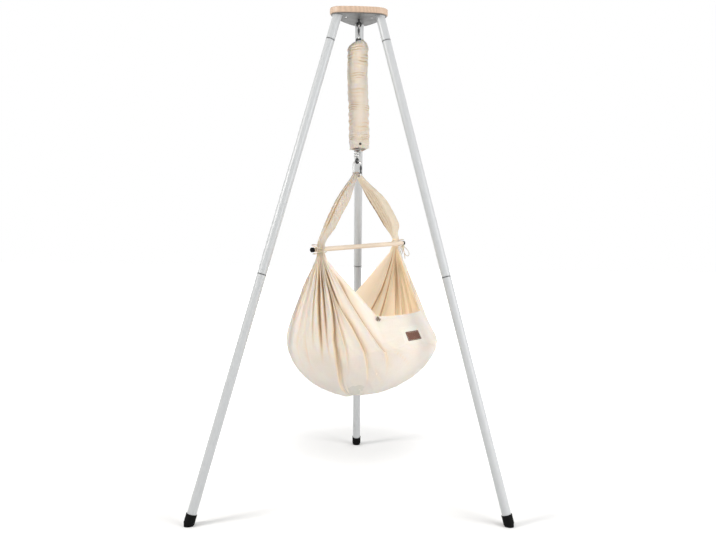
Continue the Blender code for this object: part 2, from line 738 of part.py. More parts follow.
def spring_path():
    """Points of the helix, with its ends ground into the last half turn."""
    turns = SPRING_LENGTH / SPRING_PITCH - 2 * SPRING_WIRE_RADIUS / SPRING_PITCH
    count = int(turns * CURL_POINTS)
    angle = np.arange(count + 1) * 2 * math.pi / CURL_POINTS
    height = SPRING_TOP - SPRING_WIRE_RADIUS - angle / (2 * math.pi) * (SPRING_LENGTH - 2 * SPRING_WIRE_RADIUS) / (
        count / CURL_POINTS
    )
    x, y = SPRING_MEAN_RADIUS * np.cos(angle), SPRING_MEAN_RADIUS * np.sin(angle)
    return np.stack([x, y, height], axis=1)


def least_gap(points, radius, skip):
    """Least clear distance of a bar to itself, leaving out each point's own neighbours along it."""
    points = np.asarray(points, float)
    middle = np.vstack([points, (points[1:] + points[:-1]) / 2])
    order = np.concatenate([np.arange(len(points)), np.arange(len(points) - 1) + 0.5])
    apart = np.linalg.norm(middle[:, None] - middle[None], axis=2)
    apart[np.abs(order[:, None] - order[None]) < skip] = np.inf
    return apart.min() - 2 * radius


def build_spring(materials, head, foot, swivel):
    """Helix between two flanged plugs. The upper plug ends in a fixed eye, the lower holds a swivel."""
    path = spring_path()
    print(f"spring: least gap to itself {least_gap(path, SPRING_WIRE_RADIUS, CURL_POINTS * 0.6) * 1000:.2f} mm")
    wire = sweep(path, SPRING_WIRE_RADIUS, WIRE_SIDES, (1, 0, 0))
    add_piece("spring", wire, materials["steel"], head)

    plug_radius = SPRING_MEAN_RADIUS * math.cos(math.pi / CURL_POINTS) - SPRING_WIRE_RADIUS - TOUCH
    flange_low = SPRING_TOP + TOUCH
    flange_high = flange_low + PLUG_FLANGE_THICKNESS
    neck = EYE_BAR_RADIUS
    plug = revolve(
        [
            (0, SPRING_TOP - PLUG_LENGTH),
            (plug_radius * 0.8, SPRING_TOP - PLUG_LENGTH),
            (plug_radius, SPRING_TOP - PLUG_LENGTH * 0.8),
            (plug_radius, flange_low),
            (PLUG_FLANGE_RADIUS, flange_low),
            (PLUG_FLANGE_RADIUS, flange_high),
            (neck, flange_high + PLUG_NECK * 0.5),
            (neck, SPRING_EYE_CENTRE - EYE_MEAN_RADIUS),
            (0, SPRING_EYE_CENTRE - EYE_MEAN_RADIUS),
        ],
        16,
    )
    eye = add_piece("spring_top_eye", ring_shape((0, 0, SPRING_EYE_CENTRE), (1, 0, 0)), materials["black"], head)
    boolean(eye, add_cutter("spring_top_plug", plug, head), "UNION")

    bore = SWIVEL_STEM_RADIUS + TOUCH
    flange_high = SPRING_BOTTOM - TOUCH
    flange_low = flange_high - PLUG_FLANGE_THICKNESS
    plug = [
        (bore, flange_low),
        (PLUG_FLANGE_RADIUS * 0.8, flange_low),
        (PLUG_FLANGE_RADIUS, flange_high - PLUG_FLANGE_THICKNESS * 0.4),
        (PLUG_FLANGE_RADIUS, flange_high),
        (plug_radius, flange_high),
        (plug_radius, flange_high + PLUG_LENGTH * 0.8),
        (plug_radius * 0.8, flange_high + PLUG_LENGTH),
        (bore, flange_high + PLUG_LENGTH),
    ]
    add_piece("spring_bottom_plug", revolve(plug, 16), materials["steel"], foot)
    head_low = flange_high + PLUG_LENGTH + TOUCH
    stem_low = LOWER_EYE_CENTRE + EYE_MEAN_RADIUS
    stem = revolve(
        [
            (0, stem_low),
            (SWIVEL_STEM_RADIUS, stem_low),
            (SWIVEL_STEM_RADIUS, head_low),
            (SWIVEL_HEAD_RADIUS, head_low),
            (SWIVEL_HEAD_RADIUS * 0.7, head_low + SWIVEL_HEAD_THICKNESS),
            (0, head_low + SWIVEL_HEAD_THICKNESS),
        ],
        12,
    )
    ring = ring_shape((0, 0, LOWER_EYE_CENTRE), BAR_ALONG)
    eye = add_piece("swivel_eye", ring, materials["black"], swivel)
    boolean(eye, add_cutter("swivel_stem", stem, swivel), "UNION")


def sleeve_radius(angle, height):
    """Outer radius of the gathered sleeve: level wrinkles that lean and fade round it, ends drawn in.

    angle and height are arrays. Three ripples of unlike pitch cross each other, so that no wrinkle runs
    right round.
    """
    share = (SLEEVE_TOP - height) / SLEEVE_LENGTH
    wave = 2 * math.pi * SLEEVE_FOLDS * share
    ripple = np.sin(wave + 1.1 * np.sin(angle) + 0.6 * np.sin(2 * angle + 1.0))
    ripple = ripple * (0.65 + 0.35 * np.cos(angle * 2 + share * 9.0))
    ripple = ripple + 0.45 * np.sin(wave * 1.63 + 2 * angle + 0.7)
    swell = 1 + 0.035 * np.sin(share * 13.0 + angle) + 0.03 * np.cos(angle * 3 + share * 4.0)
    # The top is drawn in over the spring's plug, and a drawn band lies above the loose bottom edge.
    top = 0.40 + 0.60 * smooth(share, -0.02, 0.075)
    band = 1 - 0.09 * np.exp(-(((share - 0.91) / 0.014) ** 2))
    return SLEEVE_RADIUS * swell * top * band + SLEEVE_FOLD_DEPTH * ripple * smooth(share, 0.0, 0.12)


def sleeve_edge(angle, share):
    """How far the sleeve's ends leave the level: the top peaks on one side, the bottom edge waves."""
    top = 0.007 * np.cos(angle - 0.3) * (1 - smooth(share, 0.0, 0.15))
    bottom = 0.004 * np.sin(2 * angle + 0.5) * smooth(share, 0.93, 1.0)
    return top + bottom


def build_sleeve(materials, head, foot):
    sides, rows = 18, 40
    angle = np.linspace(0, 2 * math.pi, sides, endpoint=False)
    share = np.linspace(0, 1, rows)[:, None]
    height = SLEEVE_TOP - SLEEVE_LENGTH * share
    radius = sleeve_radius(angle[None], height)
    outer = sleeve_points(angle, radius, height + sleeve_edge(angle[None], share))
    few = np.array([0, 1, 2, 4, 8, 20, 31, 36, rows - 1])
    least = PLUG_FLANGE_RADIUS + TOUCH
    inside = np.maximum(np.minimum(radius[few], SLEEVE_RADIUS * 0.93) - SLEEVE_CLOTH, least)
    inner = sleeve_points(angle, inside, (height + sleeve_edge(angle[None], share))[few])
    add_piece("spring_sleeve", shell(outer, inner), materials["cotton"], head, crease_deg=80)

    # Press stud on the side that faces the two front legs.
    turn = -math.pi / 2 + 0.12
    out = np.array([math.cos(turn), math.sin(turn), 0])
    around = np.array([-math.sin(turn), math.cos(turn), 0])
    seat = surface_reach(outer, out, around, SLEEVE_STUD_HEIGHT, SLEEVE_STUD_RADIUS) + TOUCH
    stud = revolve(
        [
            (0, 0),
            (SLEEVE_STUD_RADIUS, 0),
            (SLEEVE_STUD_RADIUS, SLEEVE_STUD_THICKNESS * 0.6),
            (SLEEVE_STUD_RADIUS * 0.6, SLEEVE_STUD_THICKNESS),
            (0, SLEEVE_STUD_THICKNESS),
        ],
        14,
    )
    centre = out * seat + np.array([0, 0, SLEEVE_STUD_HEIGHT])
    placed = [centre + around * x + np.array([0, 0, y]) + out * z for x, y, z in stud[0]]
    add_piece("sleeve_stud", (placed, stud[1]), materials["black"], foot)


def surface_reach(rings, out, around, height, radius):
    """How far a ring surface stands out under a disc whose middle is on the axis's out side."""
    parts = np.linspace(0, 1, 9)[:, None, None, None]
    columns = rings[None] * (1 - parts) + np.roll(rings, -1, axis=1)[None] * parts
    fine = columns[None, :, :-1] * (1 - parts[..., None]) + columns[None, :, 1:] * parts[..., None]
    fine = fine.reshape(-1, 3)
    under = np.hypot(fine @ around, fine[:, 2] - height) < radius + TOUCH
    return float((fine @ out)[under].max())


def sleeve_lean(height):
    """The loose sleeve hangs a little to one side of the spring, more so lower down."""
    share = (SLEEVE_TOP - height) / SLEEVE_LENGTH
    return SLEEVE_LEAN * (smooth(share, 0.1, 1.0) - 0.35)


def sleeve_points(angle, radius, height):
    height = np.broadcast_to(height, radius.shape)
    return np.stack([radius * np.cos(angle) + sleeve_lean(height), radius * np.sin(angle), height], axis=2)


# Hammock: its own level axes, U along the bar to the far end and V across it.

BAR_ALONG = np.array([math.cos(math.radians(BAR_YAW_DEG)), math.sin(math.radians(BAR_YAW_DEG)), 0.0])
BAR_ACROSS = np.array([BAR_ALONG[1], -BAR_ALONG[0], 0.0])
GATHER_ACROSS = BAR_RADIUS + NECK_HALF_DEPTH + TOUCH


def world(u, v, z):
    """Points of the stand from arrays of hammock coordinates."""
    u, v, z = np.broadcast_arrays(u, v, z)
    return u[..., None] * BAR_ALONG + v[..., None] * BAR_ACROSS + z[..., None] * np.array([0, 0, 1.0])


def bar_height(u):
    return BAR_HEIGHT + BAR_RISE * u / (2 * BAR_HALF_LENGTH)


def gather_place(end):
    """U, V and the bar's height at a gather: end is -1 for the near one and 1 for the far one."""
    u = NEAR_GATHER if end < 0 else FAR_GATHER
    return u, -end * GATHER_ACROSS, bar_height(u)


# Rows of the cloth from the rim (0) over the belly (1) to the bottom (2), and its lines in each part of the rim.
HAMMOCK_ROWS = [0.0, 0.10, 0.25, 0.43, 0.62, 0.82, 1.0, 1.28, 1.55, 1.80]
HAMMOCK_COLUMNS = {"fan": 13, "corner": 3, "hem": 6}


def hammock_columns(fan, corner, hem):
    """Where each line of the cloth starts on the rim and meets the belly.

    The two ends are fans: their lines start round the neck of a gather. Between them the rim leaves the
    neck, runs straight down a corner of the opening, and lies level along the side. Gives arrays of the
    belly angle, the rim's u, v and z, the neck's low point and whether a line belongs to a fan.
    """
    spread, step = FAN_HALF_ANGLE_DEG, HEM_CORNER_DEG
    angle, rim, is_fan = [], [], []
    for end in (1, -1):
        # end 1 is the far gather, on the -V side of the bar; end -1 is the near one, turned half round.
        base = 0.0 if end == 1 else 180.0
        gather_u, gather_v, height = gather_place(end)
        low = height - NECK_LENGTH
        for share in np.linspace(-1, 1, fan):
            turn = math.radians(90 * share)
            u = gather_u + end * NECK_HALF_WIDTH * math.cos(turn)
            v = gather_v + end * NECK_HALF_DEPTH * math.sin(turn)
            angle.append(base + spread * share)
            rim.append((u, v, low))
            is_fan.append(True)
        # Down one corner, along the side and up to the other gather.
        start = np.array([gather_u, gather_v + end * NECK_HALF_DEPTH, low])
        other_u, other_v, height = gather_place(-end)
        other = np.array([other_u, other_v + end * NECK_HALF_DEPTH, height - NECK_LENGTH])
        low_angles = np.linspace(spread + step, 180 - spread - step, hem)
        side = [hem_point(math.radians(base + a)) for a in low_angles]
        for share in np.linspace(0, 1, corner + 1)[1:]:
            angle.append(base + spread + step * share)
            rim.append(tuple(start + (side[0] - start) * share))
            is_fan.append(False)
        for a, point in zip(low_angles[1:-1], side[1:-1]):
            angle.append(base + a)
            rim.append(tuple(point))
            is_fan.append(False)
        for share in np.linspace(1, 0, corner + 1)[:-1]:
            angle.append(base + 180 - spread - step * share)
            rim.append(tuple(other + (side[-1] - other) * share))
            is_fan.append(False)
    return np.radians(angle), np.array(rim), np.array(is_fan)


def belly_points(angle):
    u = BELLY_HALF_LENGTH * np.cos(angle) + BELLY_END_SHIFT
    v = BELLY_HALF_WIDTH * np.sin(angle) + BELLY_SIDE_SHIFT
    return np.stack([u, v, np.full(len(angle), BELLY_HEIGHT)], axis=1)


def hem_point(angle):
    """A point of the level part of the rim, above the belly and drawn in."""
    u = HEM_SHARE * BELLY_HALF_LENGTH * math.cos(angle) + HEM_END_SHIFT
    v = HEM_SHARE * BELLY_HALF_WIDTH * math.sin(angle) + HEM_SIDE_SHIFT
    return np.array([u, v, HEM_HEIGHT])


def pleat_profile(angle):
    """Depth of the folds round the hammock, in -1 to 1: alternate ridges of unlike width."""
    return np.sin(angle * 17.0 + 0.8 * np.sin(angle * 3.0)) * 0.75 + 0.35 * np.sin(angle * 29.0 + 1.0)


def hammock_surface(columns, down, inset):
    """Rows of points of the cloth from the rim to the bottom, moved in by inset.

    Above the belly a line leaves the rim straight and ends upright. Below it follows a quarter of an
    oval to the bottom. down runs from 0 at the rim through 1 at the belly to 2 at the bottom.
    """
    angle, rim, is_fan = columns
    down = np.asarray(down, float)[:, None]
    belly = belly_points(angle)
    t = np.clip(down, 0, 1)[..., None]
    reach = belly - rim
    length = np.linalg.norm(reach, axis=1)[:, None]
    end_slope = np.array([0, 0, -1.0]) * length * BELLY_ROUNDING
    upper = (
        (2 * t**3 - 3 * t**2 + 1) * rim
        + (t**3 - 2 * t**2 + t) * reach
        + (3 * t**2 - 2 * t**3) * belly
        + (t**3 - t**2) * end_slope
    )
    turn = np.clip(down - 1, 0, 1) * math.pi / 2
    shrink = np.cos(turn) ** (2 / 1.85)
    drop = (BELLY_HEIGHT - BOTTOM_HEIGHT) * np.sin(turn) ** (2 / 1.85)
    lower = np.stack([belly[:, 0] * shrink, belly[:, 1] * shrink, BELLY_HEIGHT - drop + 0 * angle], axis=2)
    points = np.where((down > 1)[..., None], lower, upper)
    out = np.stack([np.cos(angle) * np.cos(turn), np.sin(angle) * np.cos(turn), -np.sin(turn) + 0 * angle], axis=2)
    fan_share = smooth(np.abs(np.cos(angle)), 0.5, 0.7)
    fade = smooth(down, 0.0, 0.30) * (1 - smooth(down, 0.75, 1.45))
    pleat = PLEAT_DEPTH * (pleat_profile(angle) - PLEAT_DEPTH_SHARE) * fan_share * fade
    # The cloth beside the far corner of the opening hangs in slack above the belly.
    corner = np.exp(-(((angle - math.radians(FAR_CORNER_DEG)) / 0.26) ** 2))
    slack = FAR_CORNER_SLACK * corner * smooth(down, 0.0, 0.55) * (1 - smooth(down, 0.6, 1.0))
    return points + (pleat - slack - inset)[..., None] * out


def add_neck(rows, columns):
    """Adds a top row: the fans' lines go straight up to the bar, but stay low on the side next to it."""
    _, rim, is_fan = columns
    top = rows[0].copy()
    end = np.sign(rim[:, 0])
    beside_bar = smooth((rim[:, 1] * end + GATHER_ACROSS) / NECK_HALF_DEPTH, 0.2, 0.95)
    rise = (bar_height(np.where(end < 0, NEAR_GATHER, FAR_GATHER)) - TOUCH / 2 - rim[:, 2]) * (1 - beside_bar)
    top[:, 2] = rows[0][:, 2] + np.where(is_fan, np.maximum(rise, TOUCH), TOUCH)
    return np.concatenate([top[None], rows])


def build_hammock(materials, cradle):
    columns = hammock_columns(**HAMMOCK_COLUMNS)
    surfaces = []
    for inset in (0.0, CLOTH_THICKNESS):
        rows = add_neck(hammock_surface(columns, HAMMOCK_ROWS, inset), columns)
        surfaces.append(world(rows[..., 0], rows[..., 1], rows[..., 2]))
    poles = [(0, 0, BOTTOM_HEIGHT), (0, 0, BOTTOM_HEIGHT + CLOTH_THICKNESS)]
    shape = shell(surfaces[0], surfaces[1], poles[0], poles[1])
    add_piece("hammock_body", shape, materials["cotton"], cradle, crease_deg=80)


def wall_point(angle, down, inset):
    """Points of the hammock's plain side wall."""
    angle = np.asarray(angle, float)
    rim = np.array([hem_point(a) for a in angle])
    columns = (angle, rim, np.zeros(len(angle), bool))
    rows = hammock_surface(columns, down, inset)
    return world(rows[..., 0], rows[..., 1], rows[..., 2])


def build_patch(name, width, height, lift, thickness, material, cradle):
    """Thin plate that follows the side wall, its middle over the wall's middle."""
    middle = math.radians(PATCH_CENTRE_DEG)
    across = width / BELLY_HALF_LENGTH
    wall_height = HEM_HEIGHT - BELLY_HEIGHT
    centre = (HEM_HEIGHT - PATCH_CENTRE_HEIGHT) / wall_height
    angles = np.linspace(middle - across / 2, middle + across / 2, 7)
    down = np.linspace(centre - height / wall_height / 2, centre + height / wall_height / 2, 4)
    back = wall_point(angles, down, -lift)
    front = wall_point(angles, down, -lift - thickness)
    add_piece(name, plate_shape(back, front), material, cradle, crease_deg=50)


def plate_shape(back, front):
    """Closed plate between two grids of as many points."""
    rows, count = back.shape[:2]
    vertices = np.concatenate([back.reshape(-1, 3), front.reshape(-1, 3)])
    offset = rows * count
    faces = []
    for r in range(rows - 1):
        for c in range(count - 1):
            a = r * count + c
            faces.append((a, a + 1, a + count + 1, a + count))
            faces.append((offset + a + count, offset + a + count + 1, offset + a + 1, offset + a))
    edge = list(range(count))
    edge += [r * count + count - 1 for r in range(1, rows)]
    edge += [(rows - 1) * count + c for c in range(count - 2, -1, -1)]
    edge += [r * count for r in range(rows - 2, 0, -1)]
    for a, b in zip(edge, edge[1:] + edge[:1]):
        faces.append((b, a, offset + a, offset + b))
    return vertices.tolist(), faces


def build_mattress(materials, cradle):
    """Soft pad that follows the bottom of the hammock, thinner at its edge."""
    columns = hammock_columns(**HAMMOCK_COLUMNS)
    lie = CLOTH_THICKNESS + 3 * TOUCH
    below = [row for row in HAMMOCK_ROWS if row > 1]
    under = hammock_surface(columns, below, lie)
    under[0] += (under[1] - under[0]) * MATTRESS_EDGE
    top_down = [below[0] + (below[1] - below[0]) * MATTRESS_EDGE * 1.1, *below[1:]]
    edge, inside = MATTRESS_THICKNESS * 0.5, MATTRESS_THICKNESS
    top = np.concatenate([hammock_surface(columns, [d], lie + t) for d, t in zip(top_down, (edge, inside, inside))])
    rows = np.concatenate([under[::-1], top])
    rings = world(rows[..., 0], rows[..., 1], rows[..., 2])
    low = BOTTOM_HEIGHT + lie
    poles = ((0, 0, low), (0, 0, low + MATTRESS_THICKNESS + MATTRESS_CROWN))
    add_piece("mattress", rings_to_shape(rings, poles=poles), materials["pad"], cradle, crease_deg=60)


def band_path():
    """Middle line of the band: up from one gather, over the carabiner's bar and down to the other."""
    top = np.array([0, 0, BAND_SEAT + TOUCH + BAND_HALF_THICKNESS])
    points = []
    for end in (-1, 1):
        u, v, height = gather_place(end)
        foot = np.array([u, v, height + TOUCH / 2])
        neck = foot + np.array([0, 0, NECK_LENGTH])
        shoulder = top + np.array([end * 0.014, 0, -0.010])
        side = [foot, neck]
        for share in np.linspace(0, 1, 9)[1:]:
            point = neck + (shoulder - neck) * share
            point[0] += end * BAND_BOW * math.sin(math.pi * share) * (1 - share * 0.3)
            side.append(point)
        side.append(top + np.array([end * 0.008, 0, -0.002]))
        points.append(np.array(side))
    return np.concatenate([points[0], top[None], points[1][::-1]])


def build_band(materials, cradle):
    """Folded cloth: round where it leaves a gather, then a broad channel, then narrow over the carabiner."""
    path = band_path()
    share = np.abs(np.linspace(-1, 1, len(path)))
    wide = np.interp(
        share,
        (0, 0.12, 0.45, 0.75, 0.9, 1),
        (BAND_TOP_HALF_WIDTH, BAND_TOP_HALF_WIDTH, BAND_HALF_WIDTH, BAND_HALF_WIDTH * 0.85)
        + (NECK_HALF_DEPTH * 0.95,) * 2,
    )
    thick = np.interp(
        share,
        (0, 0.15, 0.3, 0.75, 0.9, 1),
        (BAND_HALF_THICKNESS,) * 2 + (BAND_HALF_THICKNESS * 0.75,) * 2 + (NECK_HALF_WIDTH * 0.95,) * 2,
    )
    middle = smooth(share, 0.15, 0.4) * (1 - smooth(share, 0.7, 0.9))
    hollow = BAND_HOLLOW * middle
    far = np.linspace(-1, 1, len(path)) > 0
    wide = wide + BAND_FAR_FLAP * middle * far
    path[:, 1] += BAND_FAR_FLAP * middle * far
    tangent = np.gradient(path, axis=0)
    tangent[[0, -1]] = (0, 0, 1), (0, 0, -1)
    tangent /= np.linalg.norm(tangent, axis=1)[:, None]
    across = np.array([0, 1.0, 0])
    outward = np.cross(tangent, across)
    outward /= np.linalg.norm(outward, axis=1)[:, None]
    turn = np.linspace(0, 2 * math.pi, BAND_SIDES, endpoint=False)
    c, s = np.cos(turn), np.sin(turn)
    bend = hollow[:, None] * (1 - 2 * c**2)
    rings = (
        path[:, None]
        + (wide[:, None] * c)[..., None] * across
        + (thick[:, None] * s + bend)[..., None] * outward[:, None]
    )
    placed = world(rings[..., 0], rings[..., 1], rings[..., 2])
    add_piece("suspension_band", rings_to_shape(placed), materials["cotton"], cradle, crease_deg=80)


def build_bar(materials, cradle):
    """Round wooden bar with a rubber cap on each end."""
    ends = [np.array([u, 0, bar_height(u)]) for u in (BAR_SHIFT - BAR_HALF_LENGTH, BAR_SHIFT + BAR_HALF_LENGTH)]
    along = (ends[1] - ends[0]) / np.linalg.norm(ends[1] - ends[0])
    inner = [ends[0] + along * BAR_CAP_WALL, ends[1] - along * BAR_CAP_WALL]
    tenon = BAR_RADIUS - BAR_CAP_WALL
    step = along * BAR_CAP_LENGTH
    low, high = inner[0] + step, inner[1] - step
    stations = (
        (inner[0], tenon),
        (low, tenon),
        (low + along * TOUCH, BAR_RADIUS),
        ((low + high) / 2, BAR_RADIUS),
        (high - along * TOUCH, BAR_RADIUS),
        (high, tenon),
        (inner[1], tenon),
    )
    points = [world(*point) for point, _ in stations]
    rod = sweep(points, [radius for _, radius in stations], 16, (0, 0, 1))
    add_piece("spreader_bar", rod, materials["birch"], cradle)
    for name, end, way in (("near", ends[0], 1), ("far", ends[1], -1)):
        outline = [
            (0, 0),
            (BAR_RADIUS * 0.8, 0),
            (BAR_RADIUS, BAR_RADIUS * 0.2),
            (BAR_RADIUS, BAR_CAP_LENGTH + BAR_CAP_WALL - TOUCH),
            (tenon + TOUCH, BAR_CAP_LENGTH + BAR_CAP_WALL - TOUCH),
            (tenon + TOUCH, BAR_CAP_WALL - TOUCH),
            (0, BAR_CAP_WALL - TOUCH),
        ]
        vertices, faces = revolve(outline, 18)
        axis = along * way
        side = np.array([0, 1.0, 0])
        up = np.cross(axis, side)
        placed = np.array([end + side * x + up * y + axis * z for x, y, z in vertices])
        placed = world(placed[:, 0], placed[:, 1], placed[:, 2])
        add_piece(f"bar_cap_{name}", (placed, faces), materials["rubber"], cradle)


def lashing_path(end):
    """Two turns of cord round bar and gather that cross in front of the gather.

    The turn runs round an oval in plan while its height swings once in two turns, so one turn passes
    over the bar where the other passes under it.
    """
    turn = np.linspace(0, 4 * math.pi, 2 * LASHING_POINTS + 1)
    gap = CORD_RADIUS * 0.5
    grow = (2 * CORD_RADIUS + gap) * 1.1 * turn / (2 * math.pi)
    front = GATHER_ACROSS + NECK_HALF_DEPTH + CORD_RADIUS + gap
    back = -(BAR_RADIUS + CORD_RADIUS + gap)
    across = NECK_HALF_WIDTH + CORD_RADIUS + gap
    lift = BAR_RADIUS + CORD_RADIUS + 2 * gap
    u = (across + grow) * np.cos(turn)
    v = (front + back) / 2 + ((front - back) / 2 + grow) * np.sin(turn)
    z = math.sqrt(2) * lift * np.cos(turn / 2 + math.pi / 4)
    gather_u, _, height = gather_place(end)
    return np.stack([gather_u - end * u, -end * v, height + z], axis=1)


def build_lashings(materials, cradle):
    for name, end in (("near", -1), ("far", 1)):
        path = lashing_path(end)
        gap = least_gap(path, CORD_RADIUS, LASHING_POINTS * 0.3) * 1000
        print(f"lashing_{name}: least gap to itself {gap:.2f} mm")
        path = world(path[:, 0], path[:, 1], path[:, 2])
        add_piece(f"lashing_{name}", sweep(path, CORD_RADIUS, 5, (0, 0, 1)), materials["cord"], cradle)


def bow_strands(centre, right, up, loop, tail):
    """Middle lines of two loops and two tails that leave one knot. right and up span the bow."""
    centre, right, up = (np.asarray(a, float) for a in (centre, right, up))
    out = np.cross(right, up)
    strands = []
    for side in (1, -1):
        turn = np.radians(np.linspace(0, 360, 11))
        # A drop: narrow at the knot, round at the far end, and hanging.
        along = loop * (1 - np.cos(turn)) / 2
        wide = loop * 0.30 * np.sin(turn) * np.sin(turn / 2)
        way = right * side * 0.55 - up * 0.83
        cross = right * side * 0.83 + up * 0.55
        lift = out * 0.10 * loop * np.sin(turn / 2)[:, None] ** 2
        strands.append(centre + along[:, None] * way + wide[:, None] * cross + lift)
        fall = np.linspace(0, 1, 5)
        path = centre + (tail * fall)[:, None] * (right * side * 0.22 - up * 0.97)
        strands.append(path + (0.08 * tail * np.sin(fall * math.pi))[:, None] * (right * side - out))
    return strands


def build_bow(name, centre, right, up, sizes, material, cradle):
    """Knot with two loops and two tails, joined to one body."""
    loop, tail, cord, knot = sizes
    turn = np.radians([60, 30, 0, -30, -60])
    ball = [(0, knot)] + [(knot * math.cos(a), knot * math.sin(a)) for a in turn] + [(0, -knot)]
    vertices, faces = revolve(ball, 10)
    vertices = [np.asarray(centre) + np.array(v) for v in vertices]
    bow = add_piece(name, (vertices, faces), material, cradle)
    for index, strand in enumerate(bow_strands(centre, right, up, loop, tail)):
        closed = index % 2 == 0
        path = strand[1:-1] if closed else strand
        tube = sweep(path, cord, 5, np.cross(right, up))
        boolean(bow, add_cutter(f"{name}_strand_{index}", tube, cradle), "UNION")


def build_bows(materials, cradle):
    """The far gather is tied off in a bow. A small one closes the corner of the opening near the front."""
    u = FAR_GATHER + NECK_HALF_WIDTH + 4 * CORD_RADIUS + BOW_KNOT_RADIUS + BOW_GAP
    drop = math.sqrt((BAR_RADIUS + BOW_KNOT_RADIUS + TOUCH) ** 2 - BOW_SIDE_SHIFT**2)
    centre = world(u, -BOW_SIDE_SHIFT, bar_height(u) - drop)
    sizes = (BOW_LOOP_LENGTH, BOW_TAIL_LENGTH, CORD_RADIUS, BOW_KNOT_RADIUS)
    build_bow("gather_bow", centre, -BAR_ACROSS, (0, 0, 1), sizes, materials["cord"], cradle)

    corner = math.radians(180 - FAN_HALF_ANGLE_DEG - HEM_CORNER_DEG)
    rim = hem_point(corner)
    belly = belly_points(np.array([corner]))[0]
    up = (rim - belly) / np.linalg.norm(rim - belly)
    right = np.array([-math.sin(corner), math.cos(corner), 0])
    out = np.cross(right, up)
    centre = rim + out * (HEM_TIE_KNOT_RADIUS + HEM_TIE_STANDOFF) - up * HEM_TIE_KNOT_RADIUS
    sizes = (HEM_TIE_LOOP_LENGTH, HEM_TIE_TAIL_LENGTH, HEM_TIE_CORD_RADIUS, HEM_TIE_KNOT_RADIUS)
    build_bow("hem_tie", world(*centre), world(*right), world(*up), sizes, materials["cord"], cradle)


def foot_extent():
    """Lowest and highest Y of the three feet in stand coordinates."""
    reach = []
    for azimuth in LEG_AZIMUTH_DEG.values():
        axes = leg_axes(azimuth)
        reach += [(axes @ Vector(vertex)).y for vertex in foot_shape()[0]]
    return min(reach), max(reach)


def main():
    clear_scene()
    materials = {
        "white": make_material("white powder coat", (0.90, 0.92, 0.93), 0.35),
        "birch": make_material("birch", (0.80, 0.62, 0.43), 0.55),
        "rubber": make_material("black rubber", (0.02, 0.02, 0.02), 0.7),
        "steel": make_material("bright steel", (0.62, 0.63, 0.64), 0.3, 1.0),
        "black": make_material("black finish", (0.02, 0.02, 0.02), 0.4),
        "cotton": make_material("natural cotton", (0.84, 0.77, 0.64), 0.9),
        "cord": make_material("cotton cord", (0.82, 0.75, 0.62), 0.9),
        "pad": make_material("mattress cover", (0.85, 0.80, 0.70), 0.9),
        "leather": make_material("brown leather", (0.19, 0.08, 0.045), 0.6),
    }
    low, high = foot_extent()
    stand = add_pivot("stand_axis", (0, 0, 0))
    stand.location.y = -(low + high) / 2
    hook = add_pivot("fore_aft_swing_axis", (0, 0, EYE_SEAT), stand)
    head = add_pivot("side_swing_axis", (0, 0, HOOK_SEAT), hook)
    foot = add_pivot("spring_travel", (0, 0, SPRING_BOTTOM), head)
    swivel = add_pivot("swivel_axis", (0, 0, LOWER_EYE_CENTRE), foot)
    cradle = add_pivot("cradle_rock_axis", (0, 0, LOWER_EYE_SEAT), swivel)

    for name in LEG_AZIMUTH_DEG:
        build_leg(name, materials, stand)
    build_top(materials, stand)
    build_carabiner("upper", UPPER_HOOK_TOP, (0, -1, 0), materials, hook)
    build_spring(materials, head, foot, swivel)
    build_sleeve(materials, head, foot)
    build_carabiner("lower", LOWER_HOOK_TOP, BAR_ACROSS, materials, cradle)
    build_band(materials, cradle)
    build_bar(materials, cradle)
    build_lashings(materials, cradle)
    build_bows(materials, cradle)
    build_hammock(materials, cradle)
    build_mattress(materials, cradle)
    backing = (PATCH_WIDTH + 2 * PATCH_SIDE_MARGIN, PATCH_HEIGHT + 2 * PATCH_EDGE_MARGIN)
    build_patch("patch_backing", *backing, TOUCH, BACKING_THICKNESS, materials["cotton"], cradle)
    lift = TOUCH + BACKING_THICKNESS + TOUCH
    build_patch("leather_patch", PATCH_WIDTH, PATCH_HEIGHT, lift, PATCH_THICKNESS, materials["leather"], cradle)


if __name__ == "__main__":
    main()
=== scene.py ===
"""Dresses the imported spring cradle: cloth with its folds and seams, turned metal, wood, rubber and cord.

Laid out as an add-on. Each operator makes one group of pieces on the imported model, in its own metres.
"""

import json
import math

import bpy
import numpy as np
from bpy.props import FloatProperty, FloatVectorProperty, IntProperty, PointerProperty
from mathutils import Matrix, Vector

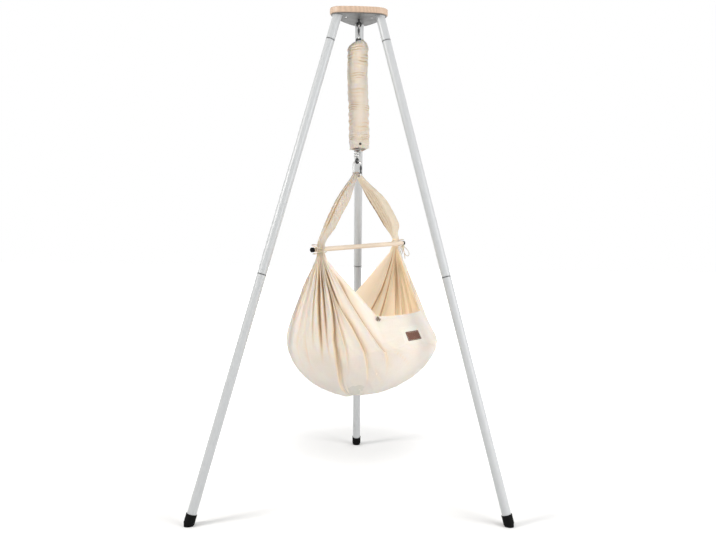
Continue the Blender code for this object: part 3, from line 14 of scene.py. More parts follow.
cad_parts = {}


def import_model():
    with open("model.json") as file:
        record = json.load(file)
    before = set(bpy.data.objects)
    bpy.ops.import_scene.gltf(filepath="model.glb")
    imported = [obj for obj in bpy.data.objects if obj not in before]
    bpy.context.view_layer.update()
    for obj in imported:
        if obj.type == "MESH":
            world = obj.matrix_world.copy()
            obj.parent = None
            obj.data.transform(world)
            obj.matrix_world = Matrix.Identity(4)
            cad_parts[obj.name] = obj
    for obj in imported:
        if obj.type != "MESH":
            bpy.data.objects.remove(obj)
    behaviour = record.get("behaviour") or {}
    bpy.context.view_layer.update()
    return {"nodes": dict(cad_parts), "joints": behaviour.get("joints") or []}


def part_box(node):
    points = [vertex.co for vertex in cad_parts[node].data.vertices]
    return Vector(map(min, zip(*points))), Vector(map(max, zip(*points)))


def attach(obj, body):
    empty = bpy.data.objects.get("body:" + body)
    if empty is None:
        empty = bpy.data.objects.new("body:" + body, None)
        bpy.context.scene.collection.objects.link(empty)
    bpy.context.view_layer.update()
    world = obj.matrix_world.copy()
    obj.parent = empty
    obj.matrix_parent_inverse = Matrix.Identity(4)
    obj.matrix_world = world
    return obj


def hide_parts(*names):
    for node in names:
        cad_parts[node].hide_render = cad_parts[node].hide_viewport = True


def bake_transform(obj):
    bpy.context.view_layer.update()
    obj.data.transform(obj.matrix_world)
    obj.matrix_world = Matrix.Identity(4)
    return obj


bl_info = {
    "name": "Spring Cradle",
    "version": (1, 0, 0),
    "blender": (4, 5, 0),
    "location": "3D View > Sidebar > Cradle",
    "description": "Dresses a baby spring cradle with its cloth, wood, metal and cord",
    "category": "Object",
}

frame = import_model()
JOINTS = {joint["name"]: joint for joint in frame["joints"]}

# Where the stand's axis runs, the heights of the hanger on it, and the gap between touching pieces.
AXIS_Y = JOINTS["fore_aft_swing"]["pos_m"][1]
EYE_SEAT = JOINTS["fore_aft_swing"]["pos_m"][2]
HOOK_SEAT = JOINTS["side_swing"]["pos_m"][2]
SWIVEL_CENTRE = JOINTS["hammock_swivel"]["pos_m"][2]
SWIVEL_SEAT = JOINTS["cradle_rock"]["pos_m"][2]
SPRING_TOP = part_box("spring")[1].z
SPRING_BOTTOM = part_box("spring")[0].z
AXIS = np.array([0.0, AXIS_Y, 0.0])
AT_AXIS = Matrix.Translation((0, AXIS_Y, 0))
UP = np.array([0.0, 0.0, 1.0])
TOUCH = 0.0003

# Legs: azimuth of each from the front, the line of the tube, its wall, seams and rolled edges, and the
# snap buttons' collar and height over the seams.
LEG_AZIMUTH = {"left": -60.0, "right": 60.0, "rear": 180.0}
LEG_FLOOR_SPREAD = 0.7033
LEG_TOP_SPREAD = 0.099
PLATE_UNDERSIDE = 1.976
LEG_TILT = math.atan2(LEG_FLOOR_SPREAD - LEG_TOP_SPREAD, PLATE_UNDERSIDE)
LEG_RADIUS = 0.018
LEG_WALL = 0.0015
TOP_SEAM = 1.876 / math.cos(LEG_TILT)
MIDDLE_SEAM = 0.943 / math.cos(LEG_TILT)
SEAMS = {"top": TOP_SEAM, "middle": MIDDLE_SEAM}
TUBE_BORE = LEG_RADIUS - LEG_WALL
SPIGOT = TUBE_BORE - TOUCH
EDGE_ROLL = 0.0011
COLLAR_RADIUS = 0.0053
BUTTON_RISE = 0.022

# Hanger: the bore of plate and board, the bar of hooks and eyes, the hooks' length and half width along
# their middle lines, and the heights of the sleeve's ends.
PLATE_BORE = 0.0053
STEEL_BAR = 0.0035
EYE_RADIUS = 0.008
HOOK_LENGTH = 0.0626
HOOK_HALF_WIDTH = 0.0205
SLEEVE_TOP = 1.886
SLEEVE_BOTTOM = 1.450

# Hammock: U runs along the bar to its far end, V level across it.
BAR_YAW = math.radians(50.0)
ALONG = np.array([math.cos(BAR_YAW), math.sin(BAR_YAW), 0.0])
ACROSS = np.array([ALONG[1], -ALONG[0], 0.0])
BAR_HALF_LENGTH = 0.294
BAR_SHIFT = 0.031
BAR_RADIUS = 0.0095
BAR_HEIGHT = 1.048
BAR_RISE = 0.018
CAPPED_RADIUS = BAR_RADIUS - 0.0012
NECK_HALF_WIDTH = 0.016
NECK_HALF_DEPTH = 0.013
NECK_LENGTH = 0.024
GATHER_U = {-1: -0.232, 1: 0.291}
GATHER_ACROSS = BAR_RADIUS + NECK_HALF_DEPTH + TOUCH
BELLY_HALF = np.array([0.340, 0.288])
BELLY_SHIFT = np.array([0.020, 0.035])
BELLY_HEIGHT = 0.658
BOTTOM_HEIGHT = 0.430
BELLY_ROUNDING = 0.45
BOWL_EXPONENT = 1.85
HEM_HEIGHT = 0.788
HEM_SHARE = 0.82
HEM_SHIFT = np.array([0.010, 0.024])
FAN_HALF_ANGLE = 52.0
HEM_CORNER = 8.0
# Angle and depth of the slack cloth at the far corner of the opening, and the place of the patch.
FAR_CORNER = (48.0, 0.034)
PATCH_DEGREES = 92.0
PATCH_HEIGHT = 0.716
CORD_RADIUS = 0.0017

# Half the side of the studio's floor.
FLOOR_HALF = 14.0

# Folds of the hammock: rows down the cloth, angles round it in degrees, width in degrees, depth in metres
# and the side on which the fold drops. A row is 0 at the rim, 1 at the belly and 2 at the bottom.
FOLDS = (
    ((0.05, 0.28, 0.41, 0.70, 1.15), (171, 170, 170, 168, 166), 6.5, 0.011, -1),
    ((0.05, 0.41, 0.80, 1.19, 1.48, 1.75), (149, 152, 156, 154, 155, 152), 7.0, 0.013, -1),
    ((0.05, 0.26, 0.59, 1.25), (146, 148, 149, 146), 3.2, 0.009, -1),
    ((0.05, 0.26, 0.45, 0.64, 1.10, 1.45), (143, 147, 144, 139, 134, 130), 6.5, 0.012, -1),
    ((0.05, 0.17, 0.41, 0.61, 1.02, 1.30), (132, 128, 129, 128, 120, 116), 6.0, 0.010, -1),
    ((0.05, 0.19, 0.52, 0.93, 1.2), (194, 193, 192, 190, 188), 5.0, 0.008, 1),
    ((0.05, 0.19, 0.51, 1.00, 1.3), (186, 185, 184, 179, 177), 6.0, 0.007, 1),
    ((0.05, 0.30, 0.75, 1.10), (162, 162, 162, 160), 4.0, 0.007, -1),
    ((0.05, 0.45, 0.95), (178, 177, 174), 3.5, 0.006, -1),
    ((0.05, 0.40, 1.00), (205, 206, 206), 6.0, 0.010, 1),
    ((0.05, 0.40, 1.15), (216, 218, 220), 6.5, 0.010, 1),
    ((0.05, 0.35, 0.90), (227, 232, 238), 5.0, 0.008, 1),
    ((0.05, 0.35, 0.80, 1.1), (-33, -36, -44, -50), 5.5, -0.012, 1),
    ((0.05, 0.35, 0.80, 1.1), (-24, -27, -32, -36), 6.0, -0.013, 1),
    ((0.05, 0.35, 0.80, 1.0), (-17, -16, -16, -16), 6.0, -0.014, 1),
    ((0.05, 0.35, 0.80, 1.1), (-6, -7, -9, -10), 5.0, -0.012, 1),
    ((0.05, 0.35, 0.80, 1.0), (2, 1, 1, 1), 5.0, -0.012, 1),
    ((0.05, 0.35, 0.80, 1.1), (13, 13, 14, 15), 5.5, -0.012, 1),
    ((0.05, 0.35, 0.75, 1.0), (24, 25, 27, 29), 5.5, -0.012, 1),
    ((0.05, 0.35, 0.75), (35, 38, 42), 5.0, -0.009, 1),
    ((0.95, 1.05, 1.21), (116, 109, 97), 3.0, 0.0035, -1),
    ((1.22, 1.29, 1.42), (126, 124, 116), 3.0, 0.0035, -1),
    ((1.40, 1.60, 1.80), (150, 149, 147), 4.0, 0.004, -1),
    ((0.90, 1.00, 1.15), (78, 72, 60), 4.0, 0.003, -1),
    ((1.00, 1.12, 1.25), (66, 58, 48), 4.0, 0.003, 1),
)
# Creases of the sleeve: share down it, spread, creases down the whole sleeve and depth in metres.
SLEEVE_CREASES = (
    (0.07, 0.045, 40, 0.0024),
    (0.17, 0.050, 33, 0.0022),
    (0.33, 0.034, 44, 0.0024),
    (0.46, 0.050, 30, 0.0010),
    (0.62, 0.036, 46, 0.0024),
    (0.77, 0.060, 28, 0.0010),
    (0.90, 0.024, 52, 0.0034),
)
# Half the height of the painted shade at a tube's end, a dark band that stands for the seam's gap.
SEAM_SHADE_REACH = 0.0022
# The sewn seam that runs from the near gather under the hammock.
SEAM = ((0.0, 0.41, 0.80, 1.19, 1.48, 1.75, 1.9), (147, 151, 155, 153, 154, 151, 150))


# Meshes


def smooth(value, low, high):
    """0 below low, 1 above high, with a cubic step between."""
    share = np.clip((np.asarray(value, float) - low) / (high - low), 0, 1)
    return share * share * (3 - 2 * share)


def unit(vectors):
    """Vectors divided by their lengths."""
    vectors = np.asarray(vectors, float)
    return vectors / np.maximum(np.linalg.norm(vectors, axis=-1, keepdims=True), 1e-12)


def full_turn(count):
    """Angles of evenly spaced points on a circle."""
    return np.linspace(0, 2 * math.pi, count, endpoint=False)


def world(u, v, z):
    """Places hammock coordinates: the stand's axis plus u along the bar, v across it and z up."""
    u, v, z = np.broadcast_arrays(np.asarray(u, float), v, z)
    return u[..., None] * ALONG + v[..., None] * ACROSS + z[..., None] * UP + AXIS


def to_world(points):
    """Places points given in hammock coordinates."""
    return world(*np.moveaxis(np.asarray(points, float), -1, 0))


def turn_to_world(directions):
    """Turns directions given in hammock coordinates."""
    return to_world(directions) - AXIS


def quads(rows, columns, wrap_rows, wrap_columns):
    """Corner indices of a grid's faces, and the same corners in a grid that has no wrap."""
    row = np.arange(rows if wrap_rows else rows - 1)[:, None]
    column = np.arange(columns if wrap_columns else columns - 1)[None]
    next_row, next_column = (row + 1) % rows, (column + 1) % columns
    corners = (row * columns + column, row * columns + next_column)
    corners += (next_row * columns + next_column, next_row * columns + column)
    wide = columns + 1
    flat = (row * wide + column, row * wide + column + 1)
    flat += ((row + 1) * wide + column + 1, (row + 1) * wide + column)
    return np.stack(corners, -1).reshape(-1, 4), np.stack(flat, -1).reshape(-1, 4)


def skin(name, rings, finish, wrap_rows=False, wrap_columns=True, capped=True, uv=None, smooth_deg=60.0):
    """A piece from rings of points in a named finish, with its UV map in metres.

    The faces join each ring to the next. Open ends are closed by a fan round the end ring's middle. The
    map runs round a ring in U and along the rings in V, both as mean lengths, unless uv gives a grid of
    one more row and column than the points. A closed piece that comes out inside out is turned.
    """
    rings = np.asarray(rings, float)
    rows, columns = rings.shape[:2]
    faces, flat = quads(rows, columns, wrap_rows, wrap_columns)
    if uv is None:
        round_it = np.linalg.norm(np.roll(rings, -1, 1) - rings, axis=2).mean(0)
        along = np.linalg.norm(np.roll(rings, -1, 0) - rings, axis=2).mean(1)
        u = np.concatenate([[0], np.cumsum(round_it)])
        v = np.concatenate([[0], np.cumsum(along)])
        uv = np.stack(np.broadcast_arrays(u[None], v[:, None]), -1)
    uv = np.asarray(uv, float).reshape(-1, 2)
    points = rings.reshape(-1, 3)
    corner_uv = uv[flat].reshape(-1, 2)
    fans = np.zeros((0, 3), int)
    fan_uv = np.zeros((0, 2))
    if capped and not wrap_rows and wrap_columns:
        step = np.arange(columns)
        after = (step + 1) % columns
        for end, base in ((0, 0), (1, (rows - 1) * columns)):
            middle = rings[-end].mean(0)
            points = np.vstack([points, middle])
            hub = np.full(columns, len(points) - 1)
            first, second = (after, step) if end == 0 else (step, after)
            fan = np.stack([hub, base + first, base + second], -1)
            fans = np.vstack([fans, fan])
            offset = points[fan.reshape(-1)] - middle
            side = unit(rings[-end][0] - middle)
            other = unit(np.cross(side, unit(rings[-end][columns // 4] - middle)))
            other = np.cross(other, side)
            fan_uv = np.vstack([fan_uv, np.stack([offset @ side, offset @ other], -1)])
    closed = wrap_columns and (wrap_rows or capped)
    if closed:
        a, b, c, d = (points[faces[:, i]] for i in range(4))
        volume = (a * np.cross(b, c)).sum() + (a * np.cross(c, d)).sum()
        if len(fans):
            a, b, c = (points[fans[:, i]] for i in range(3))
            volume += (a * np.cross(b, c)).sum()
        if volume < 0:
            faces, fans = faces[:, ::-1], fans[:, ::-1]
            corner_uv = corner_uv.reshape(-1, 4, 2)[:, ::-1].reshape(-1, 2)
            fan_uv = fan_uv.reshape(-1, 3, 2)[:, ::-1].reshape(-1, 2)
    every = faces.tolist() + fans.tolist()
    return mesh_piece(name, points, every, np.vstack([corner_uv, fan_uv]), finish_of(finish), smooth_deg)


def mesh_piece(name, points, faces, corner_uv, material, smooth_deg=60.0):
    """An object from points, faces and a UV for each face corner."""
    mesh = bpy.data.meshes.new(name)
    mesh.from_pydata(np.asarray(points, float).tolist(), [], faces)
    layer = mesh.uv_layers.new(name="UVMap")
    layer.data.foreach_set("uv", np.asarray(corner_uv, np.float32).reshape(-1))
    mesh.shade_smooth()
    mesh.set_sharp_from_angle(angle=math.radians(smooth_deg))
    mesh.materials.append(material)
    mesh.validate()
    obj = bpy.data.objects.new(name, mesh)
    bpy.context.scene.collection.objects.link(obj)
    return obj


def turned(profile, sides):
    """Rings of a profile of (radius, height) pairs turned round Z."""
    profile = np.asarray(profile, float)
    turn = full_turn(sides)
    radius, height = profile[:, :1], profile[:, 1:]
    return np.stack([radius * np.cos(turn), radius * np.sin(turn), height + 0 * turn], -1)


def placed(points, matrix):
    """Points moved by a 4 by 4 matrix."""
    matrix = np.array(matrix)
    return points @ matrix[:3, :3].T + matrix[:3, 3]


def axes_at(place, *axes):
    """The matrix that turns X, Y and Z into three axes and moves the origin to a place."""
    matrix = Matrix(np.column_stack(axes).tolist()).to_4x4()
    matrix.translation = Vector(place)
    return matrix


def lathe(name, profile, sides, finish, matrix):
    """Turns a profile of (radius, height) pairs round Z and places it by a 4 by 4 matrix."""
    return skin(name, placed(turned(profile, sides), matrix), finish, smooth_deg=35.0)


def round_profile(points, radius):
    """Rounds each inner corner of an open profile by a quadratic that ends on the corner's two sides."""
    points = np.asarray(points, float)
    made = [points[:1]]
    share = np.linspace(0, 1, 4)[:, None]
    for before, corner, after in zip(points, points[1:], points[2:]):
        reach = min(radius, np.linalg.norm(corner - before) * 0.45, np.linalg.norm(after - corner) * 0.45)
        start = corner + unit(before - corner) * reach
        end = corner + unit(after - corner) * reach
        made.append((1 - share) ** 2 * start + 2 * share * (1 - share) * corner + share**2 * end)
    made.append(points[-1:])
    return np.concatenate(made)


def frames_along(path, reference, closed=False):
    """Unit tangents, and two unit vectors across them: the first lies as near to reference as it can."""
    path = np.asarray(path, float)
    tangent = np.roll(path, -1, 0) - np.roll(path, 1, 0) if closed else np.gradient(path, axis=0)
    tangent = unit(tangent)
    reference = np.broadcast_to(np.asarray(reference, float), path.shape)
    side = unit(reference - tangent * (reference * tangent).sum(1, keepdims=True))
    return tangent, side, np.cross(tangent, side)


def tube_rings(path, radius, sides, reference, closed=False):
    """Rings of a bar along a path. radius is one number, one per point or one per point and side."""
    _, side, other = frames_along(path, reference, closed)
    turn = full_turn(sides)
    radius = np.asarray(radius, float)
    radius = radius[:, None] if radius.ndim == 1 else radius
    radius = np.broadcast_to(radius, (len(path), sides))[..., None]
    ring = np.cos(turn)[None, :, None] * side[:, None] + np.sin(turn)[None, :, None] * other[:, None]
    return np.asarray(path, float)[:, None] + radius * ring


def lengths(path):
    """Length along a path up to each of its points."""
    return np.concatenate([[0], np.cumsum(np.linalg.norm(np.diff(path, axis=0), axis=1))])


def spline(points, count):
    """A path of count points through the given ones: each span is a cubic whose end slopes are half the
    step between the two neighbours."""
    points = np.asarray(points, float)
    padded = np.vstack([2 * points[0] - points[1], points, 2 * points[-1] - points[-2]])
    place = np.linspace(0, len(points) - 1, count)
    index = np.minimum(place.astype(int), len(points) - 2)
    t = (place - index)[:, None]
    a, b, c, d = (padded[index + i] for i in range(4))
    return 0.5 * (2 * b + (c - a) * t + (2 * a - 5 * b + 4 * c - d) * t**2 + (3 * b - a - 3 * c + d) * t**3)


def even(path, count):
    """The same path with points at equal lengths."""
    length = lengths(path)
    at = np.linspace(0, length[-1], count)
    return np.stack([np.interp(at, length, path[:, i]) for i in range(3)], 1)


def cord_piece(name, path, radius, finish, reference):
    """Three-ply cord: the radius is r (0.80 + 0.22 |cos|) of a phase that turns 1.5 times round the cord
    and runs back along it, so three dips wind round it. Its ends are drawn in."""
    path = even(np.asarray(path, float), max(24, int(lengths(path)[-1] / (radius * 0.55))))
    lay = 1.5 * (full_turn(12)[None] - lengths(path)[:, None] * 0.35 / radius * 2 * math.pi / 3)
    ply = radius * (0.80 + 0.22 * np.abs(np.cos(lay)))
    place = np.arange(len(path))
    ends = np.minimum(1, 0.35 + 0.65 * np.minimum(place, place[::-1]) / 2)
    return skin(name, tube_rings(path, ply * ends[:, None], 12, reference), finish)


def joined(name, objects):
    """Joins pieces to one, in the first one's mesh."""
    bpy.ops.object.select_all(action="DESELECT")
    for obj in objects:
        obj.select_set(True)
    bpy.context.view_layer.objects.active = objects[0]
    bpy.ops.object.join()
    objects[0].name = name
    objects[0].data.name = name
    return objects[0]


def stitch_row(name, path, out, length=0.0030, gap=0.0016):
    """A row of stitches on a path: each is a six-sided spindle of four rings that arches out of the cloth.

    path holds the row's points and out the cloth's outward direction there.
    """
    radius = 0.00038
    run = lengths(path)
    count = max(2, int(run[-1] / (length + gap)))
    middle = (np.arange(count) + 0.5) * run[-1] / count
    rows = np.array([-0.5, -0.28, 0.28, 0.5])
    lift, size = np.array([-0.3, 0.55, 0.55, -0.3]) * radius, np.array([0.5, 1, 1, 0.5]) * radius
    at = middle[:, None] + rows * length
    point = np.stack([np.interp(at, run, path[:, i]) for i in range(3)], -1)
    normal = unit(np.stack([np.interp(at, run, out[:, i]) for i in range(3)], -1))
    tangent = unit(point[:, -1:] - point[:, :1])
    across = unit(np.cross(tangent, normal))
    turn = full_turn(6)[:, None]
    hexagon = np.cos(turn) * normal[:, :, None] + np.sin(turn) * across[:, :, None]
    rings = (point + normal * lift[:, None])[:, :, None] + size[None, :, None, None] * hexagon
    faces, _ = quads(4, 6, False, True)
    ends = np.array([[5, 4, 3, 2, 1, 0], [18, 19, 20, 21, 22, 23]])
    offset = (np.arange(count) * 24)[:, None, None]
    sides = (faces[None] + offset).reshape(-1, 4)
    caps = (ends[None] + offset).reshape(-1, 6)
    every = sides.tolist() + caps.tolist()
    corners = np.zeros((len(sides) * 4 + len(caps) * 6, 2))
    corners[:, 0] = np.concatenate([sides.reshape(-1), caps.reshape(-1)]) * 0.0005
    return mesh_piece(name, rings.reshape(-1, 3), every, corners, finish_of("thread"))


# Shader groups and materials


def feed(tree, node, values):
    """Sets a node's inputs. values maps a name or place to a number, a colour or another node's output."""
    for key, value in values.items():
        socket = node.inputs[key]
        if isinstance(value, bpy.types.NodeSocket):
            tree.links.new(value, socket)
        elif socket.type == "RGBA" and len(value) == 3:
            socket.default_value = (*value, 1)
        else:
            socket.default_value = value


def put(tree, kind, values=None, **settings):
    """Adds a node with its settings and its inputs, which go as in feed."""
    node = tree.nodes.new(kind)
    for key, value in settings.items():
        setattr(node, key, value)
    feed(tree, node, values or {})
    return node


def math_node(tree, operation, first, second=0.0, third=0.0, clamp=False):
    """Output of a math node. MULTIPLY_ADD gives first times second plus third."""
    values = {0: first, 1: second, 2: third}
    return put(tree, "ShaderNodeMath", values, operation=operation, use_clamp=clamp).outputs[0]


def noise(tree, place, scale, detail, **values):
    """A noise node over a place."""
    return put(tree, "ShaderNodeTexNoise", {"Vector": place, "Scale": scale, "Detail": detail, **values})


def ramp(tree, value, stops):
    """A colour ramp over value, from (place, colour) stops."""
    node = put(tree, "ShaderNodeValToRGB", {0: value})
    elements = node.color_ramp.elements
    for end in (0, 1):
        elements[end].position = stops[-end][0]
        elements[end].color = (*stops[-end][1], 1)
    for place, colour in stops[1:-1]:
        elements.new(place).color = (*colour, 1)
    return node.outputs[0]


def mix(tree, share, first, second, blend="MIX"):
    """The first colour, turned by share into the second or into their product."""
    values = {0: share, 6: first, 7: second}
    return put(tree, "ShaderNodeMix", values, data_type="RGBA", blend_type=blend).outputs[2]


def new_group(name, inputs, outputs):
    """A shader group, its input node and its output node, from (name, kind, default) of each socket."""
    tree = bpy.data.node_groups.new(name, "ShaderNodeTree")
    for label, kind, default in inputs:
        socket = tree.interface.new_socket(name=label, in_out="INPUT", socket_type=kind)
        if default is not None:
            socket.default_value = default
    for label, kind in outputs:
        tree.interface.new_socket(name=label, in_out="OUTPUT", socket_type=kind)
    return tree, tree.nodes.new("NodeGroupInput"), tree.nodes.new("NodeGroupOutput")


FLOAT, VECTOR, COLOUR = "NodeSocketFloat", "NodeSocketVector", "NodeSocketColor"
WHITE = (1.0, 1.0, 1.0)


def weave_group():
    """Plain weave on a map in metres: two sets of threads pass over and under each other, of uneven
    thickness, with slubs and small dark seed specks."""
    tree, into, out = new_group(
        "Plain weave",
        [
            ("Map", VECTOR, None),
            ("Thread", FLOAT, 0.0007),
            ("Slub", FLOAT, 0.5),
            ("Light", COLOUR, (0.8, 0.8, 0.8, 1)),
            ("Dark", COLOUR, (0.6, 0.6, 0.6, 1)),
            ("Speck", COLOUR, (0.3, 0.2, 0.1, 1)),
        ],
        [("Color", COLOUR), ("Height", FLOAT), ("Rough", FLOAT)],
    )
    thread = into.outputs["Thread"]
    per = put(tree, "ShaderNodeCombineXYZ", {0: thread, 1: thread, 2: 1.0})
    values = {0: into.outputs["Map"], 1: per.outputs[0]}
    scaled = put(tree, "ShaderNodeVectorMath", values, operation="DIVIDE").outputs[0]
    parts = put(tree, "ShaderNodeSeparateXYZ", {0: scaled})
    phases = [math_node(tree, "MULTIPLY", parts.outputs[i], math.pi) for i in (0, 1)]
    cross = math_node(tree, "MULTIPLY", *(math_node(tree, "SINE", phase) for phase in phases))
    slubs = []
    for stretch in ((1.0, 0.03, 1.0), (0.03, 1.0, 1.0)):
        pulled = put(tree, "ShaderNodeMapping", {"Vector": scaled, "Scale": stretch})
        slubs.append(noise(tree, pulled.outputs[0], 0.45, 3.0).outputs["Fac"])
    slub = math_node(tree, "SUBTRACT", math_node(tree, "ADD", *slubs), 1.0)
    height = math_node(tree, "MULTIPLY_ADD", slub, into.outputs["Slub"], cross)
    blotch = noise(tree, into.outputs["Map"], 14.0, 4.0)
    tone = math_node(tree, "MULTIPLY_ADD", slub, 1.4, blotch.outputs["Fac"], clamp=True)
    colour = mix(tree, tone, into.outputs["Dark"], into.outputs["Light"])
    cells = put(tree, "ShaderNodeTexVoronoi", {"Vector": into.outputs["Map"], "Scale": 190.0})
    speck = math_node(tree, "LESS_THAN", cells.outputs["Distance"], 0.09)
    draw = put(tree, "ShaderNodeSeparateXYZ", {0: cells.outputs["Color"]}).outputs[0]
    few = math_node(tree, "GREATER_THAN", draw, 0.86)
    speck = math_node(tree, "MULTIPLY", math_node(tree, "MULTIPLY", speck, few), 0.55)
    colour = mix(tree, speck, colour, into.outputs["Speck"])
    rough = math_node(tree, "MULTIPLY_ADD", slub, -0.2, 0.9)
    feed(tree, out, {"Color": colour, "Height": height, "Rough": rough})
    return tree


def wear_group():
    """Fine surface unevenness, handling marks and dust in Object coordinates."""
    tree, into, out = new_group(
        "Surface marks",
        [("Scale", FLOAT, 900.0), ("Marks", FLOAT, 30.0), ("Base", COLOUR, None), ("Marked", COLOUR, None)],
        [("Color", COLOUR), ("Height", FLOAT), ("Mask", FLOAT)],
    )
    place = put(tree, "ShaderNodeTexCoord").outputs["Object"]
    fine = noise(tree, place, into.outputs["Scale"], 2.0)
    broad = noise(tree, place, into.outputs["Marks"], 5.0, Roughness=0.65)
    values = {"Value": broad.outputs["Fac"], "From Min": 0.42, "From Max": 0.72}
    mask = put(tree, "ShaderNodeMapRange", values).outputs[0]
    colour = mix(tree, mask, into.outputs["Base"], into.outputs["Marked"])
    feed(tree, out, {"Color": colour, "Height": fine.outputs["Fac"], "Mask": mask})
    return tree


def grain_group():
    """Wood: growth rings cut along the board, drawn-out fibre and short dark pores, along the map's X."""
    tree, into, out = new_group(
        "Wood grain",
        [("Place", VECTOR, None), ("Light", COLOUR, None), ("Dark", COLOUR, None), ("Rings", FLOAT, 90.0)],
        [("Color", COLOUR), ("Height", FLOAT), ("Rough", FLOAT)],
    )
    values = {"Vector": into.outputs["Place"], "Scale": (0.06, 1.0, 1.0)}
    pulled = put(tree, "ShaderNodeMapping", values).outputs[0]
    bend = noise(tree, pulled, 24.0, 3.0)
    values = {0: bend.outputs["Color"], 1: (0.012, 0.012, 0.012), 2: pulled}
    moved = put(tree, "ShaderNodeVectorMath", values, operation="MULTIPLY_ADD").outputs[0]
    values = {"Vector": moved, "Scale": into.outputs["Rings"], "Distortion": 1.2}
    rings = put(tree, "ShaderNodeTexWave", values, bands_direction="Y")
    fibre = noise(tree, pulled, 900.0, 3.0).outputs["Fac"]
    pores = put(tree, "ShaderNodeTexVoronoi", {"Vector": pulled, "Scale": 700.0})
    values = {"Value": pores.outputs["Distance"], "From Min": 0.05, "From Max": 0.3}
    values.update({"To Min": 1.0, "To Max": 0.0})
    pore = put(tree, "ShaderNodeMapRange", values).outputs[0]
    drawn = math_node(tree, "MULTIPLY", fibre, 0.5)
    tone = math_node(tree, "MULTIPLY_ADD", rings.outputs["Fac"], 0.45, drawn, clamp=True)
    colour = mix(tree, tone, into.outputs["Light"], into.outputs["Dark"])
    colour = mix(tree, math_node(tree, "MULTIPLY", pore, 0.35), colour, into.outputs["Dark"])
    height = math_node(tree, "MULTIPLY_ADD", pore, -0.6, fibre)
    rough = math_node(tree, "MULTIPLY_ADD", tone, 0.15, 0.42)
    feed(tree, out, {"Color": colour, "Height": height, "Rough": rough})
    return tree


def base_material(name, **constants):
    """A material with its Principled shader. constants go on the shader's own sockets."""
    material = bpy.data.materials.new(name)
    material.use_nodes = True
    tree = material.node_tree
    shader = tree.nodes["Principled BSDF"]
    feed(tree, shader, {key.replace("_", " "): value for key, value in constants.items()})
    return material, tree, shader


def surface(tree, shader, colour, rough, height, relief):
    """Links a material's colour and roughness, and its height as relief in metres."""
    bump = put(tree, "ShaderNodeBump", {"Height": height, "Distance": relief}).outputs[0]
    feed(tree, shader, {"Base Color": colour, "Roughness": rough, "Normal": bump})


def piece_value(tree, name):
    """A value that the piece stores for each of its points."""
    return put(tree, "ShaderNodeAttribute", attribute_name=name).outputs["Fac"]


def cloth_material(name, weave, light, dark, thread, depth, slub=0.5, folded=False):
    """Matt woven cloth: weave in relief, slubs and specks in the colour, a little sheen, and light that
    passes through it. Folded cloth gets painted shade, warm tan to dark brown, in its folds, and on its
    inner face a painted warm tint and a painted glow, dimmed in the folds."""
    material, tree, shader = base_material(
        name,
        Sheen_Weight=0.15,
        Sheen_Roughness=0.6,
        Specular_IOR_Level=0.2,
        Subsurface_Weight=0.7,
        Subsurface_Radius=(1.0, 0.66, 0.38),
        Subsurface_Scale=0.0012,
    )
    place = put(tree, "ShaderNodeUVMap", uv_map="UVMap").outputs[0]
    values = {"Map": place, "Thread": thread, "Slub": slub, "Light": light, "Dark": dark}
    values["Speck"] = (0.22, 0.12, 0.05)
    node = put(tree, "ShaderNodeGroup", values, node_tree=weave)
    colour = node.outputs["Color"]
    if folded:
        # Painted shade: the fold value turns the colour warm tan, then dark brown, in creases and gutters.
        fold, inside = piece_value(tree, "fold"), piece_value(tree, "inside")
        painted_crease_shade = ramp(tree, fold, ((0.0, WHITE), (0.45, (1.0, 0.90, 0.76)), (1.0, (0.50, 0.35, 0.21))))
        colour = mix(tree, 1.0, colour, painted_crease_shade, "MULTIPLY")
        # Painted light inside: a warm tint, and an emission glow that painted shade dims in the folds.
        colour = mix(tree, 1.0, colour, mix(tree, inside, WHITE, (1.0, 0.97, 0.91)), "MULTIPLY")
        glow = mix(tree, inside, (0.0, 0.0, 0.0), (0.31, 0.28, 0.228))
        dim = ramp(tree, fold, ((0.0, WHITE), (1.0, (0.25, 0.2, 0.15))))
        glow = mix(tree, 1.0, glow, dim, "MULTIPLY")
        feed(tree, shader, {"Emission Color": glow, "Emission Strength": 1.0})
    surface(tree, shader, colour, node.outputs["Rough"], node.outputs["Height"], depth)
    return material


def marked_material(name, marks, base, marked, scale, relief, rough, mark_scale=30.0, worn=None, **more):
    """Paint, metal, rubber or plastic with fine unevenness, and patches where handling changed it.

    base and marked are the colours, and rough the two roughnesses. Given a dark colour for painted shade,
    the piece turns to it where its fold value marks a seam's gap. more goes on the shader's own sockets.
    """
    material, tree, shader = base_material(name, **more)
    values = {"Scale": scale, "Marks": mark_scale, "Base": base, "Marked": marked}
    node = put(tree, "ShaderNodeGroup", values, node_tree=marks)
    colour = node.outputs["Color"]
    # Painted shade: near-black where the fold value marks a seam's gap.
    if worn:
        colour = mix(tree, piece_value(tree, "fold"), colour, worn)
    values = {"Value": node.outputs["Mask"], "To Min": rough[0], "To Max": rough[1]}
    between = put(tree, "ShaderNodeMapRange", values).outputs[0]
    surface(tree, shader, colour, between, node.outputs["Height"], relief)
    return material


def wood_material(name, grain, light, dark, rings, turn=0.0, on_map=False):
    """Clear-lacquered wood, with its grain along X of the Object coordinates or along V of its map."""
    material, tree, shader = base_material(name, Coat_Weight=0.25, Coat_Roughness=0.35)
    if on_map:
        place = put(tree, "ShaderNodeUVMap", uv_map="UVMap").outputs[0]
        turn = math.pi / 2
    else:
        place = put(tree, "ShaderNodeTexCoord").outputs["Object"]
    along = put(tree, "ShaderNodeMapping", {"Vector": place, "Rotation": (0.0, 0.0, turn)}).outputs[0]
    values = {"Place": along, "Light": light, "Dark": dark, "Rings": rings}
    node = put(tree, "ShaderNodeGroup", values, node_tree=grain)
    surface(tree, shader, node.outputs["Color"], node.outputs["Rough"], node.outputs["Height"], 0.00012)
    return material


